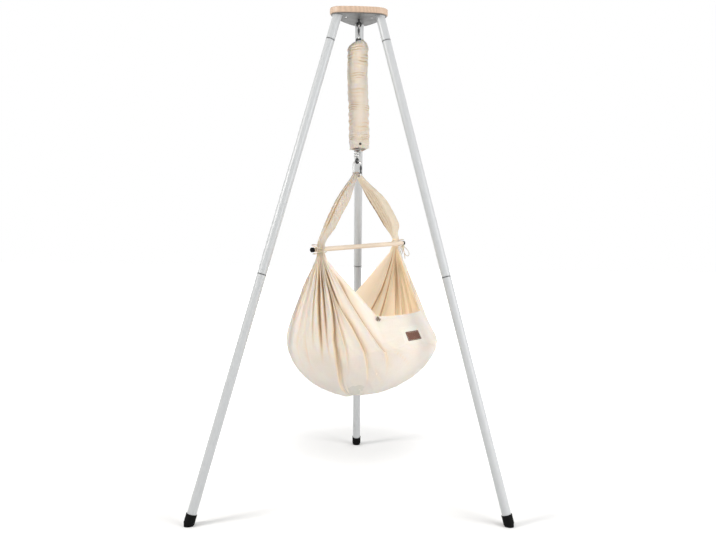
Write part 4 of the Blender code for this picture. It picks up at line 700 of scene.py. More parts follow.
def leather_material(name, base, dark):
    """Vegetable-tanned leather: a net of fine cells in relief, and a colour that varies with it."""
    material, tree, shader = base_material(name, Specular_IOR_Level=0.4)
    place = put(tree, "ShaderNodeTexCoord").outputs["Object"]
    values = {"Vector": place, "Scale": 1100.0}
    cells = put(tree, "ShaderNodeTexVoronoi", values, feature="DISTANCE_TO_EDGE")
    net = put(tree, "ShaderNodeMapRange", {"Value": cells.outputs["Distance"], "From Max": 0.25}).outputs[0]
    folds = noise(tree, place, 60.0, 6.0).outputs["Fac"]
    tone = math_node(tree, "MULTIPLY_ADD", net, 0.4, math_node(tree, "MULTIPLY", folds, 0.7), clamp=True)
    rough = math_node(tree, "MULTIPLY_ADD", tone, -0.2, 0.68)
    surface(tree, shader, mix(tree, tone, dark, base), rough, math_node(tree, "ADD", net, folds), 0.0002)
    return material


FINISHES = {}


def shade(colour, share):
    """A colour made lighter or darker."""
    return tuple(np.array(colour) * share)


def make_cloths():
    """The cloths and cords: lighter and darker tone, thread distance, relief and other values."""
    cloth = bpy.context.scene.cradle_cloth
    light, dark, thread = tuple(cloth.light_colour), tuple(cloth.dark_colour), cloth.thread
    backing = (shade(light, 1.03), shade(dark, 1.03), thread, 0.0003)
    sleeve = ((0.90, 0.805, 0.70), (0.82, 0.715, 0.60), thread, 0.0004)
    # folded cloth gets painted shade in its folds, and a painted warm tint and painted glow inside.
    folded, slubby = {"folded": True}, {"slub": 0.8}
    table = {
        "cotton": ("natural cotton", (light, dark, thread, 0.0004), folded),
        "cotton sleeve": ("cotton sleeve", sleeve, folded),
        "cotton band": ("cotton band", ((0.75, 0.67, 0.575), (0.65, 0.57, 0.47), thread, 0.0005), folded),
        "cotton backing": ("cotton backing", backing, {}),
        "mattress cover": ("mattress cover", ((0.80, 0.76, 0.68), (0.70, 0.65, 0.56), 0.0009, 0.0005), {}),
        "cotton cord": ("cotton cord", ((0.80, 0.72, 0.58), (0.68, 0.58, 0.43), 0.0005, 0.0002), slubby),
        "waxed cord": ("waxed cord", ((0.30, 0.22, 0.14), (0.20, 0.14, 0.09), 0.0005, 0.0002), slubby),
        "thread": ("sewing thread", ((0.82, 0.75, 0.62), (0.70, 0.61, 0.47), 0.0003, 0.0001), {}),
    }
    weave = weave_group()
    for finish, (name, values, more) in table.items():
        FINISHES[finish] = cloth_material(name, weave, *values, **more)


def make_marked():
    """Paint, rubber and metals: plain and marked colour, scale of the unevenness, relief, plain and
    marked roughness, and other values."""
    paint = tuple(bpy.context.scene.cradle_stand.paint_colour)
    metal = {"mark_scale": 60.0, "Metallic": 1.0}
    # Near-black painted shade for the gaps at the legs' seams.
    worn = {"worn": (0.06, 0.06, 0.062)}
    # The steel plate is white powder coat like the legs; its dark grey is painted shade of its downward
    # face.
    plate_in_shade = ((0.145, 0.145, 0.142), (0.12, 0.12, 0.118))
    rubber = ((0.003, 0.003, 0.003), (0.006, 0.006, 0.006))
    bright = ((0.60, 0.60, 0.59), (0.48, 0.48, 0.47))
    dull = ((0.42, 0.42, 0.42), (0.30, 0.30, 0.30))
    black = ((0.015, 0.015, 0.016), (0.035, 0.034, 0.033))
    table = {
        "paint": ("white powder coat", (paint, shade(paint, 0.975)), (1400.0, 0.00006, (0.30, 0.38)), worn),
        "plate painted shade": ("white plate coat in painted shade", plate_in_shade, (1400.0, 0.00008, (0.40, 0.5)), {}),
        "rubber": ("black rubber", rubber, (1800.0, 0.00008, (0.6, 0.8)), {"Specular_IOR_Level": 0.08}),
        "steel": ("bright steel", bright, (2400.0, 0.00003, (0.26, 0.42)), metal),
        "spring steel": ("spring steel", dull, (2400.0, 0.00003, (0.30, 0.45)), metal),
        "black": ("black finish", black, (2000.0, 0.00004, (0.35, 0.5)), {}),
    }
    marks = wear_group()
    for finish, (name, colours, values, more) in table.items():
        FINISHES[finish] = marked_material(name, marks, *colours, *values, **more)


def make_wood_and_leather():
    """Birch of the board, beech of the bar, and the patch's leather."""
    birch = tuple(bpy.context.scene.cradle_stand.wood_colour)
    grain = grain_group()
    FINISHES["birch"] = wood_material("birch", grain, birch, shade(birch, 0.72), 60.0, turn=0.35)
    light, dark = (0.78, 0.68, 0.57), (0.64, 0.51, 0.38)
    FINISHES["bar wood"] = wood_material("beech", grain, light, dark, 110.0, on_map=True)
    FINISHES["leather"] = leather_material("brown leather", (0.185, 0.075, 0.045), (0.085, 0.032, 0.02))


def finish_of(name):
    """The material of that name, with all of them made on the first call."""
    if not FINISHES:
        make_cloths()
        make_marked()
        make_wood_and_leather()
    return FINISHES[name]


def dress(nodes, finish):
    """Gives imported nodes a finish."""
    for name in nodes:
        materials = frame["nodes"][name].data.materials
        materials.clear()
        materials.append(finish_of(finish))


def stand_for(piece, body, nodes=()):
    """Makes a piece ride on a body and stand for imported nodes."""
    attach(piece, body)
    if nodes:
        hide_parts(*nodes)
    return piece


# Stand


def leg_matrix(name):
    """The leg's own axes: X points in to the stand's axis, Z up along the tube, origin on the floor."""
    azimuth = math.radians(LEG_AZIMUTH[name])
    out = Vector((math.sin(azimuth), -math.cos(azimuth), 0))
    foot = out * LEG_FLOOR_SPREAD
    along = (out * LEG_TOP_SPREAD + Vector((0, 0, PLATE_UNDERSIDE)) - foot).normalized()
    across = along.cross(-out).normalized()
    axes = Matrix((across.cross(along), across, along)).transposed().to_4x4()
    return Matrix.Translation(foot + Vector((0, AXIS_Y, 0))) @ axes


def shade_cloth(obj, fold, inside=(0.0,)):
    """Stores two values at each point of a piece for its material: fold, which sets painted shade, and
    inside, which sets a painted warm tint and glow.
    """
    for label, values in (("fold", fold), ("inside", inside)):
        values = np.asarray(values, np.float32).reshape(-1)
        padded = np.zeros(len(obj.data.vertices), np.float32)
        padded[: len(values)] = values
        obj.data.attributes.new(label, "FLOAT", "POINT").data.foreach_set("value", padded)


def level_cut(rings, rows, height):
    """Slides the points of some rings along the tube until they lie level at a height."""
    rings[rows, :, 2] = (height + rings[rows, :, 0] * math.sin(LEG_TILT)) / math.cos(LEG_TILT)


def painted(label, rings, axes, away, node):
    """A painted tube that stands for a packed one. It gets painted shade, a dark band for the seam's gap,
    where away, the distance of each ring from the nearest end, is small."""
    piece = skin(label, placed(rings, axes), "paint", wrap_rows=True, smooth_deg=40)
    # The fold value sets painted shade at the tube's ends.
    shade_cloth(piece, np.exp(-((away / SEAM_SHADE_REACH) ** 2)))
    stand_for(piece, "stand", [node])


def make_socket(name, axes):
    """Socket: level under the plate, with a fillet of weld, and square with a rolled edge at the seam."""
    low, top = TOP_SEAM + TOUCH, MIDDLE_SEAM * 2.08
    levels = (low + EDGE_ROLL, TOP_SEAM + 0.003, TOP_SEAM + 0.008, top - 0.01, top)
    outline = [(TUBE_BORE, low + EDGE_ROLL), (TUBE_BORE + EDGE_ROLL, low), (LEG_RADIUS - EDGE_ROLL, low)]
    outline += [(LEG_RADIUS, z) for z in levels] + [(LEG_RADIUS + 0.0018, top)]
    outline += [(TUBE_BORE, top), (TUBE_BORE, top - 0.01)]
    rings = turned(outline, 64)
    for rows, below in (([6], 0.006), ([7], 0.0024), ([8, 9], TOUCH), ([10], 0.010)):
        level_cut(rings, rows, PLATE_UNDERSIDE - below)
    painted(f"socket_{name}", rings, axes, rings[..., 2] - TOP_SEAM, f"leg_socket_{name}")


def make_tube(label, node, axes, low, high):
    """Tube: outside up from the lower end, in to the spigot at the upper end, then back down inside."""
    near = np.array([0.002, 0.003, 0.005, 0.008])
    between = np.linspace(low + 0.02, high - 0.02, 12)
    levels = np.concatenate([low + near, between, high - near[::-1], [high - 0.001]])
    inner = SPIGOT - LEG_WALL
    outline = [(LEG_RADIUS - EDGE_ROLL, low), (LEG_RADIUS, low + EDGE_ROLL)]
    outline += [(LEG_RADIUS, z) for z in levels]
    outline += [(LEG_RADIUS - 0.0005, high - 0.0003), (SPIGOT + 0.0002, high), (SPIGOT, high + 0.001)]
    outline += [(SPIGOT, high + 0.066), (SPIGOT - 0.0008, high + 0.070), (inner, high + 0.070)]
    outline += [(inner, high), (TUBE_BORE, high - 0.006)]
    outline += [(TUBE_BORE, low + EDGE_ROLL), (TUBE_BORE + EDGE_ROLL, low)]
    rings = turned(outline, 64)
    away = np.minimum(np.abs(rings[..., 2] - high), np.abs(rings[..., 2] - low))
    painted(label, rings, axes, away, node)


def make_foot(name, axes):
    """Foot: level sole with a groove, a round edge, ribs and a lip round the tube."""
    inner = LEG_RADIUS + TOUCH
    outer = inner + 0.0026
    rise = outer * math.tan(LEG_TILT)
    outline = [(0.0005, 0), (outer - 0.0062, 0), (outer - 0.0050, 0), (outer - 0.0030, rise * 0.45)]
    outline += [(outer - 0.0012, rise + 0.0015), (outer, rise + 0.005)]
    ribs = np.linspace(0.016, 0.036, 26)
    outline += [(outer - 0.0004 - 0.0004 * math.cos(z * 2 * math.pi / 0.004), z) for z in ribs]
    outline += [(outer, 0.040), (outer, 0.0447), (outer - 0.0008, 0.0458), (inner + 0.0005, 0.046)]
    outline += [(inner, 0.0455), (inner, 0.013), (LEG_RADIUS - 0.001, 0.0122), (0.0005, 0.0122)]
    rings = turned(outline, 64)
    level_cut(rings, [0, 1, 2], 0.0)
    piece = skin(f"foot_cap_{name}", placed(rings, axes), "rubber", smooth_deg=50)
    stand_for(piece, "stand", [f"foot_{name}"])


def make_button(name, axes, level, seam):
    """Domed snap button with a collar inside the spigot."""
    end = LEG_RADIUS + 0.0025
    face = math.sqrt((SPIGOT - LEG_WALL) ** 2 - COLLAR_RADIUS**2) - TOUCH
    bend = np.linspace(0, math.pi / 2, 8)[:-1]
    profile = [(0.0002, face - 0.001), (COLLAR_RADIUS, face - 0.001), (COLLAR_RADIUS, face)]
    profile += [(0.004, face), (0.004, face + 0.0004)]
    profile += [(0.004 * math.cos(a), end - 0.0016 + 0.0016 * math.sin(a)) for a in bend] + [(0.0002, end)]
    turn = Matrix.Translation((0, 0, seam + BUTTON_RISE)) @ Matrix.Rotation(math.pi / 2, 4, "Y")
    piece = lathe(f"{level}_button_dome_{name}", profile, 32, "steel", axes @ turn)
    stand_for(piece, f"{level}_{name}_button", [f"{level}_button_{name}"])


def make_leg(name):
    """Socket, two tubes, rubber foot and two snap buttons. The tubes' ends have small rolled edges."""
    axes = leg_matrix(name)
    make_socket(name, axes)
    make_tube(f"upper_tube_{name}", f"upper_leg_{name}", axes, MIDDLE_SEAM + TOUCH, TOP_SEAM)
    make_tube(f"lower_tube_{name}", f"lower_leg_{name}", axes, 0.0125, MIDDLE_SEAM)
    make_foot(name, axes)
    for level, seam in SEAMS.items():
        make_button(name, axes, level, seam)


def make_snap_strip(name, level, seam):
    """Sprung leaf behind a snap button, bent to a U: centre (m + b cos t, -0.020 - b sin t) between two
    straight arms. Its near arm lies behind the button's collar, its far arm rests on the tube's wall."""
    half, half_width, arm_above, arm_below = 0.0003, 0.0035, 0.004, 0.020
    bore = SPIGOT - LEG_WALL
    near = math.sqrt(bore**2 - COLLAR_RADIUS**2) - 2 * TOUCH - 0.001 - half
    far = half + TOUCH - math.sqrt(bore**2 - half_width**2)
    middle, bend = (near + far) / 2, (near - far) / 2
    t = np.linspace(0, math.pi, 33)
    x = np.concatenate([np.full(6, near), middle + bend * np.cos(t), np.full(6, far)])
    arm = np.linspace(arm_above, -arm_below, 7)[:-1]
    z = np.concatenate([arm, -arm_below - bend * np.sin(t), arm[::-1]])
    centre = np.stack([x, np.zeros_like(x), z], -1)
    normal = np.cross(unit(np.gradient(centre, axis=0)), (0, 1, 0))
    over, side = np.array((1, 1, -1, -1)), np.array((1, -1, -1, 1))
    rings = centre[:, None] + half * over[None, :, None] * normal[:, None]
    rings = rings + (half_width * side)[None, :, None] * np.array((0, 1.0, 0))
    axes = leg_matrix(name) @ Matrix.Translation((0, 0, seam + BUTTON_RISE))
    piece = skin(f"{level}_snap_strip_{name}", placed(rings, axes), "steel", smooth_deg=40)
    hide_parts(f"{level}_snap_spring_{name}")
    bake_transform(piece)


def board_outline(inset):
    """Outline of the top board moved in by inset: three corner circles and three flat arcs, all tangent."""
    spread, corner, bow = 0.079, 0.048, 0.005
    middle, half = spread / 2, spread * math.sin(math.radians(60))
    flat = middle + corner + bow
    reach = flat - corner
    back = (half**2 + middle**2 - reach**2) / (2 * (reach - middle))
    swing = math.atan2(half, middle + back)
    side = np.linspace(-swing, swing, 10)[:-1]
    bend = np.linspace(swing, math.radians(120) - swing, 18)[:-1]
    side_radius, corner_radius = back + flat - inset, corner - inset
    along = np.concatenate([side_radius * np.sin(side), half + corner_radius * np.sin(bend)])
    out = np.concatenate([side_radius * np.cos(side) - back, middle + corner_radius * np.cos(bend)])
    turn = np.radians([0, 120, 240])[:, None]
    x = along * np.cos(turn) + out * np.sin(turn)
    y = along * np.sin(turn) - out * np.cos(turn)
    return np.stack([x.ravel(), y.ravel()], -1)


def drilled_plate(name, low, high, edge, inset, finish):
    """Plate with a rounded rim and a bore in its middle: the outline's rings run up the rim, in to the
    bore, down it and back out. Rings between rim and bore are shares of the way in."""
    quarter = np.linspace(0, math.pi / 2, 6)
    rim = [(edge * (1 - math.sin(a)), low + edge * (1 - math.cos(a))) for a in quarter]
    rim += [(edge * (1 - math.cos(a)), high - edge * (1 - math.sin(a))) for a in quarter]
    levels = [(board_outline(inset + shift), height) for shift, height in rim]
    bottom, top = levels[0][0], levels[-1][0]
    turn = np.arctan2(bottom[:, 1], bottom[:, 0])
    hole = PLATE_BORE * np.stack([np.cos(turn), np.sin(turn)], -1)
    way_in = (0.02, 0.3, 0.6, 0.95, 1.0)
    levels += [(top + (hole - top) * share, high) for share in way_in]
    levels += [(bottom + (hole - bottom) * share, low) for share in way_in[::-1]]
    rings = np.array([np.column_stack([flat, np.full(len(flat), height)]) for flat, height in levels])
    return skin(name, rings + AXIS, finish, wrap_rows=True, smooth_deg=30)


def make_top():
    """Wooden board, steel plate under it, three screws, and the eye bolt's washer and cap nut."""
    plate_top = PLATE_UNDERSIDE + 0.004
    board_low = plate_top + TOUCH
    board_high = board_low + 0.024
    board = drilled_plate("wooden_board", board_low, board_high, 0.003, 0.0, "birch")
    stand_for(board, "stand", ["top_board"])
    # The plate's dark grey colour is painted shade.
    plate = drilled_plate("steel_plate", PLATE_UNDERSIDE, plate_top, 0.0008, 0.005, "plate painted shade")
    stand_for(plate, "stand", ["mount_plate"])
    low = board_high + TOUCH
    profile = [(PLATE_BORE, low), (0.0108, low), (0.011, low + 0.0003), (0.011, low + 0.0012)]
    profile += [(0.0106, low + 0.0016), (PLATE_BORE, low + 0.0016)]
    rings = placed(turned(profile, 48), AT_AXIS)
    washer = skin("nut_washer", rings, "black", wrap_rows=True, smooth_deg=35)
    stand_for(washer, "stand", ["eye_washer"])
    dress(["eye_nut"], "black")
    under = PLATE_UNDERSIDE - TOUCH
    head = [(0.0002, -0.0014), (0.0009, -0.0014), (0.0011, -0.0024), (0.003, -0.0023), (0.0042, -0.0016)]
    head += [(0.0045, -0.0008), (0.0045, 0), (0.002, 0), (0.002, 0.0145), (0.0002, 0.017)]
    for name, degrees in LEG_AZIMUTH.items():
        azimuth = math.radians(degrees)
        spot = Matrix.Translation((0.060 * math.sin(azimuth), AXIS_Y - 0.060 * math.cos(azimuth), under))
        piece = lathe(f"plate_screw_{name}", head, 32, "steel", spot)
        stand_for(piece, "stand", [f"board_screw_{name}"])


# Hanger


def forged_eye(name, height, plane, profile, sides, body, node):
    """A round bar along an upright circle in the plane of a level direction, and the shank turned on it."""
    turn = full_turn(72)[:, None]
    centre = AXIS + UP * height
    path = centre + EYE_RADIUS * (np.cos(turn) * np.asarray(plane) + np.sin(turn) * UP)
    rings = tube_rings(path, STEEL_BAR, 24, np.cross(plane, UP), closed=True)
    ring = skin(f"{name}_loop", rings, "black", wrap_rows=True)
    shank = lathe(f"{name}_shank", profile, sides, "black", AT_AXIS)
    stand_for(joined(name, [ring, shank]), body, [node])


def make_eyes():
    """The eye bolt, the spring's two plugs and the swivel eye under it."""
    eye = EYE_SEAT + 0.0045
    top = PLATE_UNDERSIDE + 0.0403
    profile = [(0.0002, eye + 0.0075), (0.0040, eye + 0.0075), (0.0047, eye + 0.0105), (0.005, eye + 0.012)]
    threads = np.linspace(PLATE_UNDERSIDE + 0.001, top - 0.001, 70)
    profile += [(0.0049 - 0.00018 * math.cos(z * 2 * math.pi / 0.0015), z) for z in threads]
    profile += [(0.0002, top)]
    forged_eye("eye_bolt_forged", eye, (1, 0, 0), profile, 32, "stand", "eye_bolt")

    plug, eye, low = 0.0088, HOOK_SEAT - 0.0042, SPRING_TOP + TOUCH
    profile = [(0.0002, SPRING_TOP - 0.024), (plug * 0.8, SPRING_TOP - 0.024), (plug, SPRING_TOP - 0.019)]
    profile += [(plug, low), (0.0131, low), (0.0135, low + 0.0005), (0.0135, low + 0.0024)]
    profile += [(0.0125, low + 0.003), (0.0048, low + 0.0034), (0.0037, low + 0.0048)]
    profile += [(0.0036, eye - 0.0075), (0.0002, eye - 0.0072)]
    forged_eye("spring_head_eye", eye, (1, 0, 0), profile, 48, "spring_head", "spring_top_eye")

    high = SPRING_BOTTOM - TOUCH
    profile = [(0.0033, -0.003), (0.0100, -0.003), (0.0128, -0.0018), (0.0135, -0.0008), (0.0135, -0.0003)]
    profile += [(0.0131, 0), (plug, 0), (plug, 0.0192), (plug * 0.8, 0.024), (0.0033, 0.024)]
    rings = placed(turned(profile, 48), AT_AXIS) + UP * high
    piece = skin("spring_foot_plug", rings, "steel", wrap_rows=True, smooth_deg=35)
    stand_for(piece, "spring_foot", ["spring_bottom_plug"])

    low, top = SWIVEL_CENTRE + 0.0075, high + 0.0243
    profile = [(0.0002, low), (0.0042, low), (0.0044, low + 0.0012), (0.003, low + 0.0028), (0.003, top)]
    profile += [(0.006, top), (0.006, top + 0.0015), (0.0042, top + 0.003), (0.0002, top + 0.003)]
    forged_eye("swivel_ring", SWIVEL_CENTRE, ALONG, profile, 32, "swivel", "swivel_eye")


def make_hook(prefix, top, across, body, gate_body):
    """Carabiner: a bar bent round four corners and flattened to a tang at the hinge, with its gate."""
    across = np.asarray(across, float)
    normal = np.cross(across, UP)
    corner, bottom = 0.013, top - HOOK_LENGTH
    gate_low, gate_high = bottom + corner, top - corner
    quarter = np.linspace(0, math.pi / 2, 14)
    inner = HOOK_HALF_WIDTH - corner
    middles = ((inner, gate_high), (-inner, gate_high), (-inner, gate_low), (inner, gate_low))
    flat = []
    for index, middle in enumerate(middles):
        turn = quarter + index * math.pi / 2
        flat.append(middle + corner * np.stack([np.cos(turn), np.sin(turn)], -1))
    flat = np.vstack([*flat, [[HOOK_HALF_WIDTH, gate_low + 0.0005]]])
    path = even(AXIS + flat[:, :1] * across + flat[:, 1:] * UP, 150)
    run = lengths(path)
    start = np.minimum(run, 0.0036) / 0.0036
    last = np.minimum(run[-1] - run, 0.004) / 0.004
    nose = np.sqrt(np.clip(1 - (1 - start) ** 2, 0.02, 1))
    heel = np.sqrt(np.clip(1 - (1 - last) ** 2, 0.05, 1))
    width = (STEEL_BAR * nose * heel)[:, None]
    tang = smooth(run, run[-1] - 0.008, run[-1] - 0.004)[:, None]
    deep = width * (1 - tang) + np.minimum(width, 0.0013) * tang
    _, side, other = frames_along(path, normal)
    turn = full_turn(24)
    rings = path[:, None] + (deep * np.cos(turn))[..., None] * side[:, None]
    rings = rings + (width * np.sin(turn))[..., None] * other[:, None]
    hook = skin(f"{prefix}_hook_bar", rings, "steel")
    stand_for(hook, body, [f"{prefix}_carabiner"])
    make_gate(prefix, AXIS + across * HOOK_HALF_WIDTH, gate_low, gate_high, across, normal, gate_body)
    dress([f"{prefix}_gate_pin"], "steel")


def make_gate(prefix, foot, low, high, across, normal, body):
    """Sprung gate: a rod with a knurled screw sleeve, and two cheeks beside the hook's tang."""
    height = np.linspace(low + 0.0046, high - STEEL_BAR - TOUCH, 60)
    share = (height - height[0]) / (height[-1] - height[0])
    round_end = np.sqrt(np.clip(1 - np.clip((share - 0.93) / 0.075, 0, 1) ** 2, 0.01, 1))
    sleeve = smooth(share, 0.30, 0.33) * (1 - smooth(share, 0.80, 0.83))
    radius = (0.0029 + 0.0015 * sleeve) * round_end
    knurl = 0.00016 * sleeve[:, None] * np.cos(12 * full_turn(24)[None])
    rings = tube_rings(foot + height[:, None] * UP, radius[:, None] + knurl, 24, across)
    parts = [skin(f"{prefix}_gate_rod", rings, "black")]
    for way in (1, -1):
        # Cheek: an oval plate, drawn up over the hinge.
        spot = foot + normal * way * 0.0025 + UP * (low + 0.0008)
        path = spot + normal * np.linspace(-0.0008, 0.0008, 6)[:, None]
        size = 0.0031 * np.sqrt(1 - np.linspace(-0.75, 0.75, 6) ** 4)
        rings = tube_rings(path, size, 24, UP)
        rings = rings + UP * np.maximum((rings - spot) @ UP, 0)[..., None] * 0.9
        parts.append(skin(f"{prefix}_cheek_{way + 1}", rings, "black"))
    stand_for(joined(f"{prefix}_gate_rod", parts), body, [f"{prefix}_gate"])


def make_spring():
    """Wire along a plain helix."""
    wire, radius, pitch = 0.002, 0.012, 0.0099
    span = SPRING_TOP - SPRING_BOTTOM - 2 * wire
    count = int(span / pitch * 24)
    share = np.arange(count + 1) / count
    angle = share * span / pitch * 2 * math.pi
    height = SPRING_TOP - wire - span * share
    path = np.stack([radius * np.cos(angle), radius * np.sin(angle), height], -1) + AXIS
    coil = skin("coil_spring", tube_rings(path, wire, 12, UP), "spring steel")
    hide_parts("spring")
    hang(coil)


def hang(piece):
    """Bakes a piece's placement into its mesh."""
    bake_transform(piece)


def sleeve_shape(angle, share, extra=0.0):
    """Outer surface of the gathered sleeve at angles round it and shares down it, and how deep in a crease
    each point lies, which sets painted shade.

    A drum with a drawn-in top and slow swells. At each of a few heights a bell curve holds a group of
    narrow creases: one minus the size of a sine, cubed, whose phase wanders round the sleeve. Below the
    last group the loose end is drawn in on one side and ends in a slanting, wavy edge.
    """
    angle, share = np.broadcast_arrays(angle, share)
    swell = 0.018 * np.sin(share * 13.0 + angle) + 0.018 * np.cos(angle * 3 + share * 6.0)
    swell = swell + 0.016 * np.sin(share * 31.0 + 1.3 * np.sin(angle + 1.0))
    fade = smooth(share, 0.0, 0.06)
    drawn = 0.42 + 0.58 * smooth(share, -0.02, 0.055)
    ripple = np.sin(2 * math.pi * 15 * share + 1.1 * np.sin(angle) + 0.8 * np.sin(2 * angle + 1.0))
    ripple = 0.0017 * ripple * (0.6 + 0.4 * np.cos(angle * 2 + share * 9.0)) * fade
    radius = 0.0415 * (1 + swell) * drawn + ripple
    creases = np.zeros(radius.shape)
    for middle, spread, pitch, depth in SLEEVE_CREASES:
        window = np.exp(-(((share - middle - 0.010 * np.sin(angle + middle * 20)) / spread) ** 2))
        wander = 0.5 * np.sin(angle * 2 + middle * 30) + 0.35 * np.sin(angle * 5 - middle * 50)
        wave = np.abs(np.sin(math.pi * pitch * share + wander + angle * 0.35))
        uneven = 0.55 + 0.45 * np.sin(angle * 3 + middle * 70 + share * 25)
        radius = radius + depth * window * fade * uneven * (1.4 * np.sqrt(wave) - 1.0)
        # Painted shade in each crease, strongest at its bottom.
        strength = np.clip(depth / 0.0013 * window * uneven, 0, 1) * fade
        creases = np.maximum(creases, strength * (1 - wave) ** 1.6)
    # Upright gathers where a drawn tape pulls the top in.
    radius = radius + 0.0012 * np.exp(-((share / 0.03) ** 2)) * np.sin(angle * 19 + 2 * np.sin(angle * 2))
    loose = smooth(share, 0.93, 1.0)
    radius = radius * (1 - 0.10 * loose * np.clip(np.cos(angle), 0, 1))
    radius = radius + 0.0022 * loose * np.sin(angle * 5 + 0.8)
    height = SLEEVE_TOP - (SLEEVE_TOP - SLEEVE_BOTTOM) * share
    height = height + 0.008 * np.cos(angle - 0.3) * (1 - smooth(share, 0.0, 0.15))
    height = height + (0.003 * np.sin(3 * angle + 0.5) + 0.004 * np.cos(angle + 0.6)) * loose
    lean_over = 0.012 * (smooth(share, 0.1, 1.0) - 0.35)
    radius = np.maximum(radius + extra, 0.0142)
    points = np.stack([radius * np.cos(angle) + lean_over, AXIS_Y + radius * np.sin(angle), height], -1)
    return points, creases


def make_sleeve():
    """Gathered cotton tube over the spring, with its turned-in lower edge, stitches and press stud."""
    angle = full_turn(200)[None]
    down = np.linspace(0, 1, 420)[:, None]
    outer, creases = sleeve_shape(angle, down)
    inner, _ = sleeve_shape(angle, down[::3][::-1], -0.0011)
    edge = sleeve_shape(angle, np.array([[1.0]]), -0.00055)[0] - UP * 0.0006
    lip = sleeve_shape(angle, np.array([[0.0]]), -0.00055)[0] + UP * 0.0006
    rings = np.concatenate([lip, outer, edge, inner])
    round_it = np.linspace(0, 2 * math.pi * 0.043, 201)
    fall = np.cumsum(np.linalg.norm(np.diff(rings, axis=0), axis=2).mean(1))
    fall = np.concatenate([[0], fall, fall[-1:]])
    uv = np.stack(np.broadcast_arrays(round_it[None], fall[:, None]), -1)
    sleeve = skin("gathered_sleeve", rings, "cotton sleeve", wrap_rows=True, uv=uv, smooth_deg=180)
    # Painted shade in the sleeve's creases.
    shade_cloth(sleeve, np.concatenate([creases[:1] * 0, creases]))
    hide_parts("spring_sleeve")
    hang(sleeve)
    angle = np.linspace(0, 2 * math.pi, 361)
    out = np.stack([np.cos(angle), np.sin(angle), 0 * angle], -1)
    rows = []
    for share in (0.975, 0.895):
        path, _ = sleeve_shape(angle, np.array(share))
        rows.append(stitch_row(f"sleeve_stitches_{share}", path, out))
    seam = joined("sleeve_stitches", rows)
    hang(seam)
    make_stud()


def make_stud():
    """Press stud that lies on the highest of the sleeve's cloth round its place."""
    low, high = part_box("sleeve_stud")
    turn = -math.pi / 2 + 0.12
    out = np.array([math.cos(turn), math.sin(turn), 0])
    share = (SLEEVE_TOP - (low[2] + high[2]) / 2) / (SLEEVE_TOP - SLEEVE_BOTTOM)
    beside, above = np.linspace(turn - 0.1, turn + 0.1, 9), np.linspace(share - 0.01, share + 0.01, 9)
    near, _ = sleeve_shape(beside[:, None], above[None])
    seat = near[4, 4] + out * (float(((near - near[4, 4]) @ out).max()) + 0.0002)
    profile = [(0.0002, 0.0), (0.0051, 0.0), (0.0053, 0.0006), (0.0050, 0.0014), (0.0042, 0.0019)]
    profile += [(0.0034, 0.0016), (0.0026, 0.0018), (0.0016, 0.0028), (0.0002, 0.0030)]
    stud = lathe("press_stud", profile, 40, "black", axes_at(seat, np.cross(UP, out), UP, out))
    stand_for(stud, "spring_foot", ["sleeve_stud"])


# Hammock


def bar_height(u):
    """Height of the bar's middle line, which rises to the far end."""
    return BAR_HEIGHT + BAR_RISE * np.asarray(u, float) / (2 * BAR_HALF_LENGTH)


def gather_place(end):
    """Middle of the neck at an end, level with the bar, in hammock coordinates."""
    u = GATHER_U[end]
    return u, -end * GATHER_ACROSS, float(bar_height(u))


def belly_degrees(angle):
    """Angles in degrees from -60 to 300, so that both fans are whole."""
    return (np.degrees(angle) + 60) % 360 - 60


def belly_points(angle):
    """The belly's oval."""
    flat = np.stack([np.cos(angle), np.sin(angle)], -1) * BELLY_HALF + BELLY_SHIFT
    return np.concatenate([flat, np.full((*np.shape(angle), 1), BELLY_HEIGHT)], -1)


def hem_points(angle):
    """The level part of the rim: an oval above the belly's, drawn in."""
    flat = HEM_SHARE * BELLY_HALF * np.stack([np.cos(angle), np.sin(angle)], -1) + HEM_SHIFT
    return np.concatenate([flat, np.full((*np.shape(angle), 1), HEM_HEIGHT)], -1)


def rim_at(angle):
    """Rim points of the fans: each fan starts on its neck's oval."""
    degrees = belly_degrees(angle)
    end = np.where(degrees > 90, -1, 1)
    share = np.where(end < 0, degrees - 180, degrees) / FAN_HALF_ANGLE
    turn = np.radians(90 * np.clip(share, -1, 1))
    middle = np.where(end < 0, GATHER_U[-1], GATHER_U[1])
    u = middle + end * NECK_HALF_WIDTH * np.cos(turn)
    v = -end * GATHER_ACROSS + end * NECK_HALF_DEPTH * np.sin(turn)
    return np.stack([u, v, bar_height(middle) - NECK_LENGTH], -1)


def bowl(angle, down):
    """Points and outward directions below the belly: each line is a quarter of an oval to the bottom."""
    belly = belly_points(angle)
    turn = np.clip(down - 1, 0, 1) * math.pi / 2
    size = np.clip(np.cos(turn), 0, 1) ** (2 / BOWL_EXPONENT)
    drop = (BELLY_HEIGHT - BOTTOM_HEIGHT) * np.sin(turn) ** (2 / BOWL_EXPONENT)
    points = np.stack([belly[:, 0] * size, belly[:, 1] * size, BELLY_HEIGHT - drop + 0 * angle], 2)
    level = np.cos(turn)
    out = np.stack([np.cos(angle) * level, np.sin(angle) * level, -np.sin(turn) + 0 * angle], 2)
    return points, out


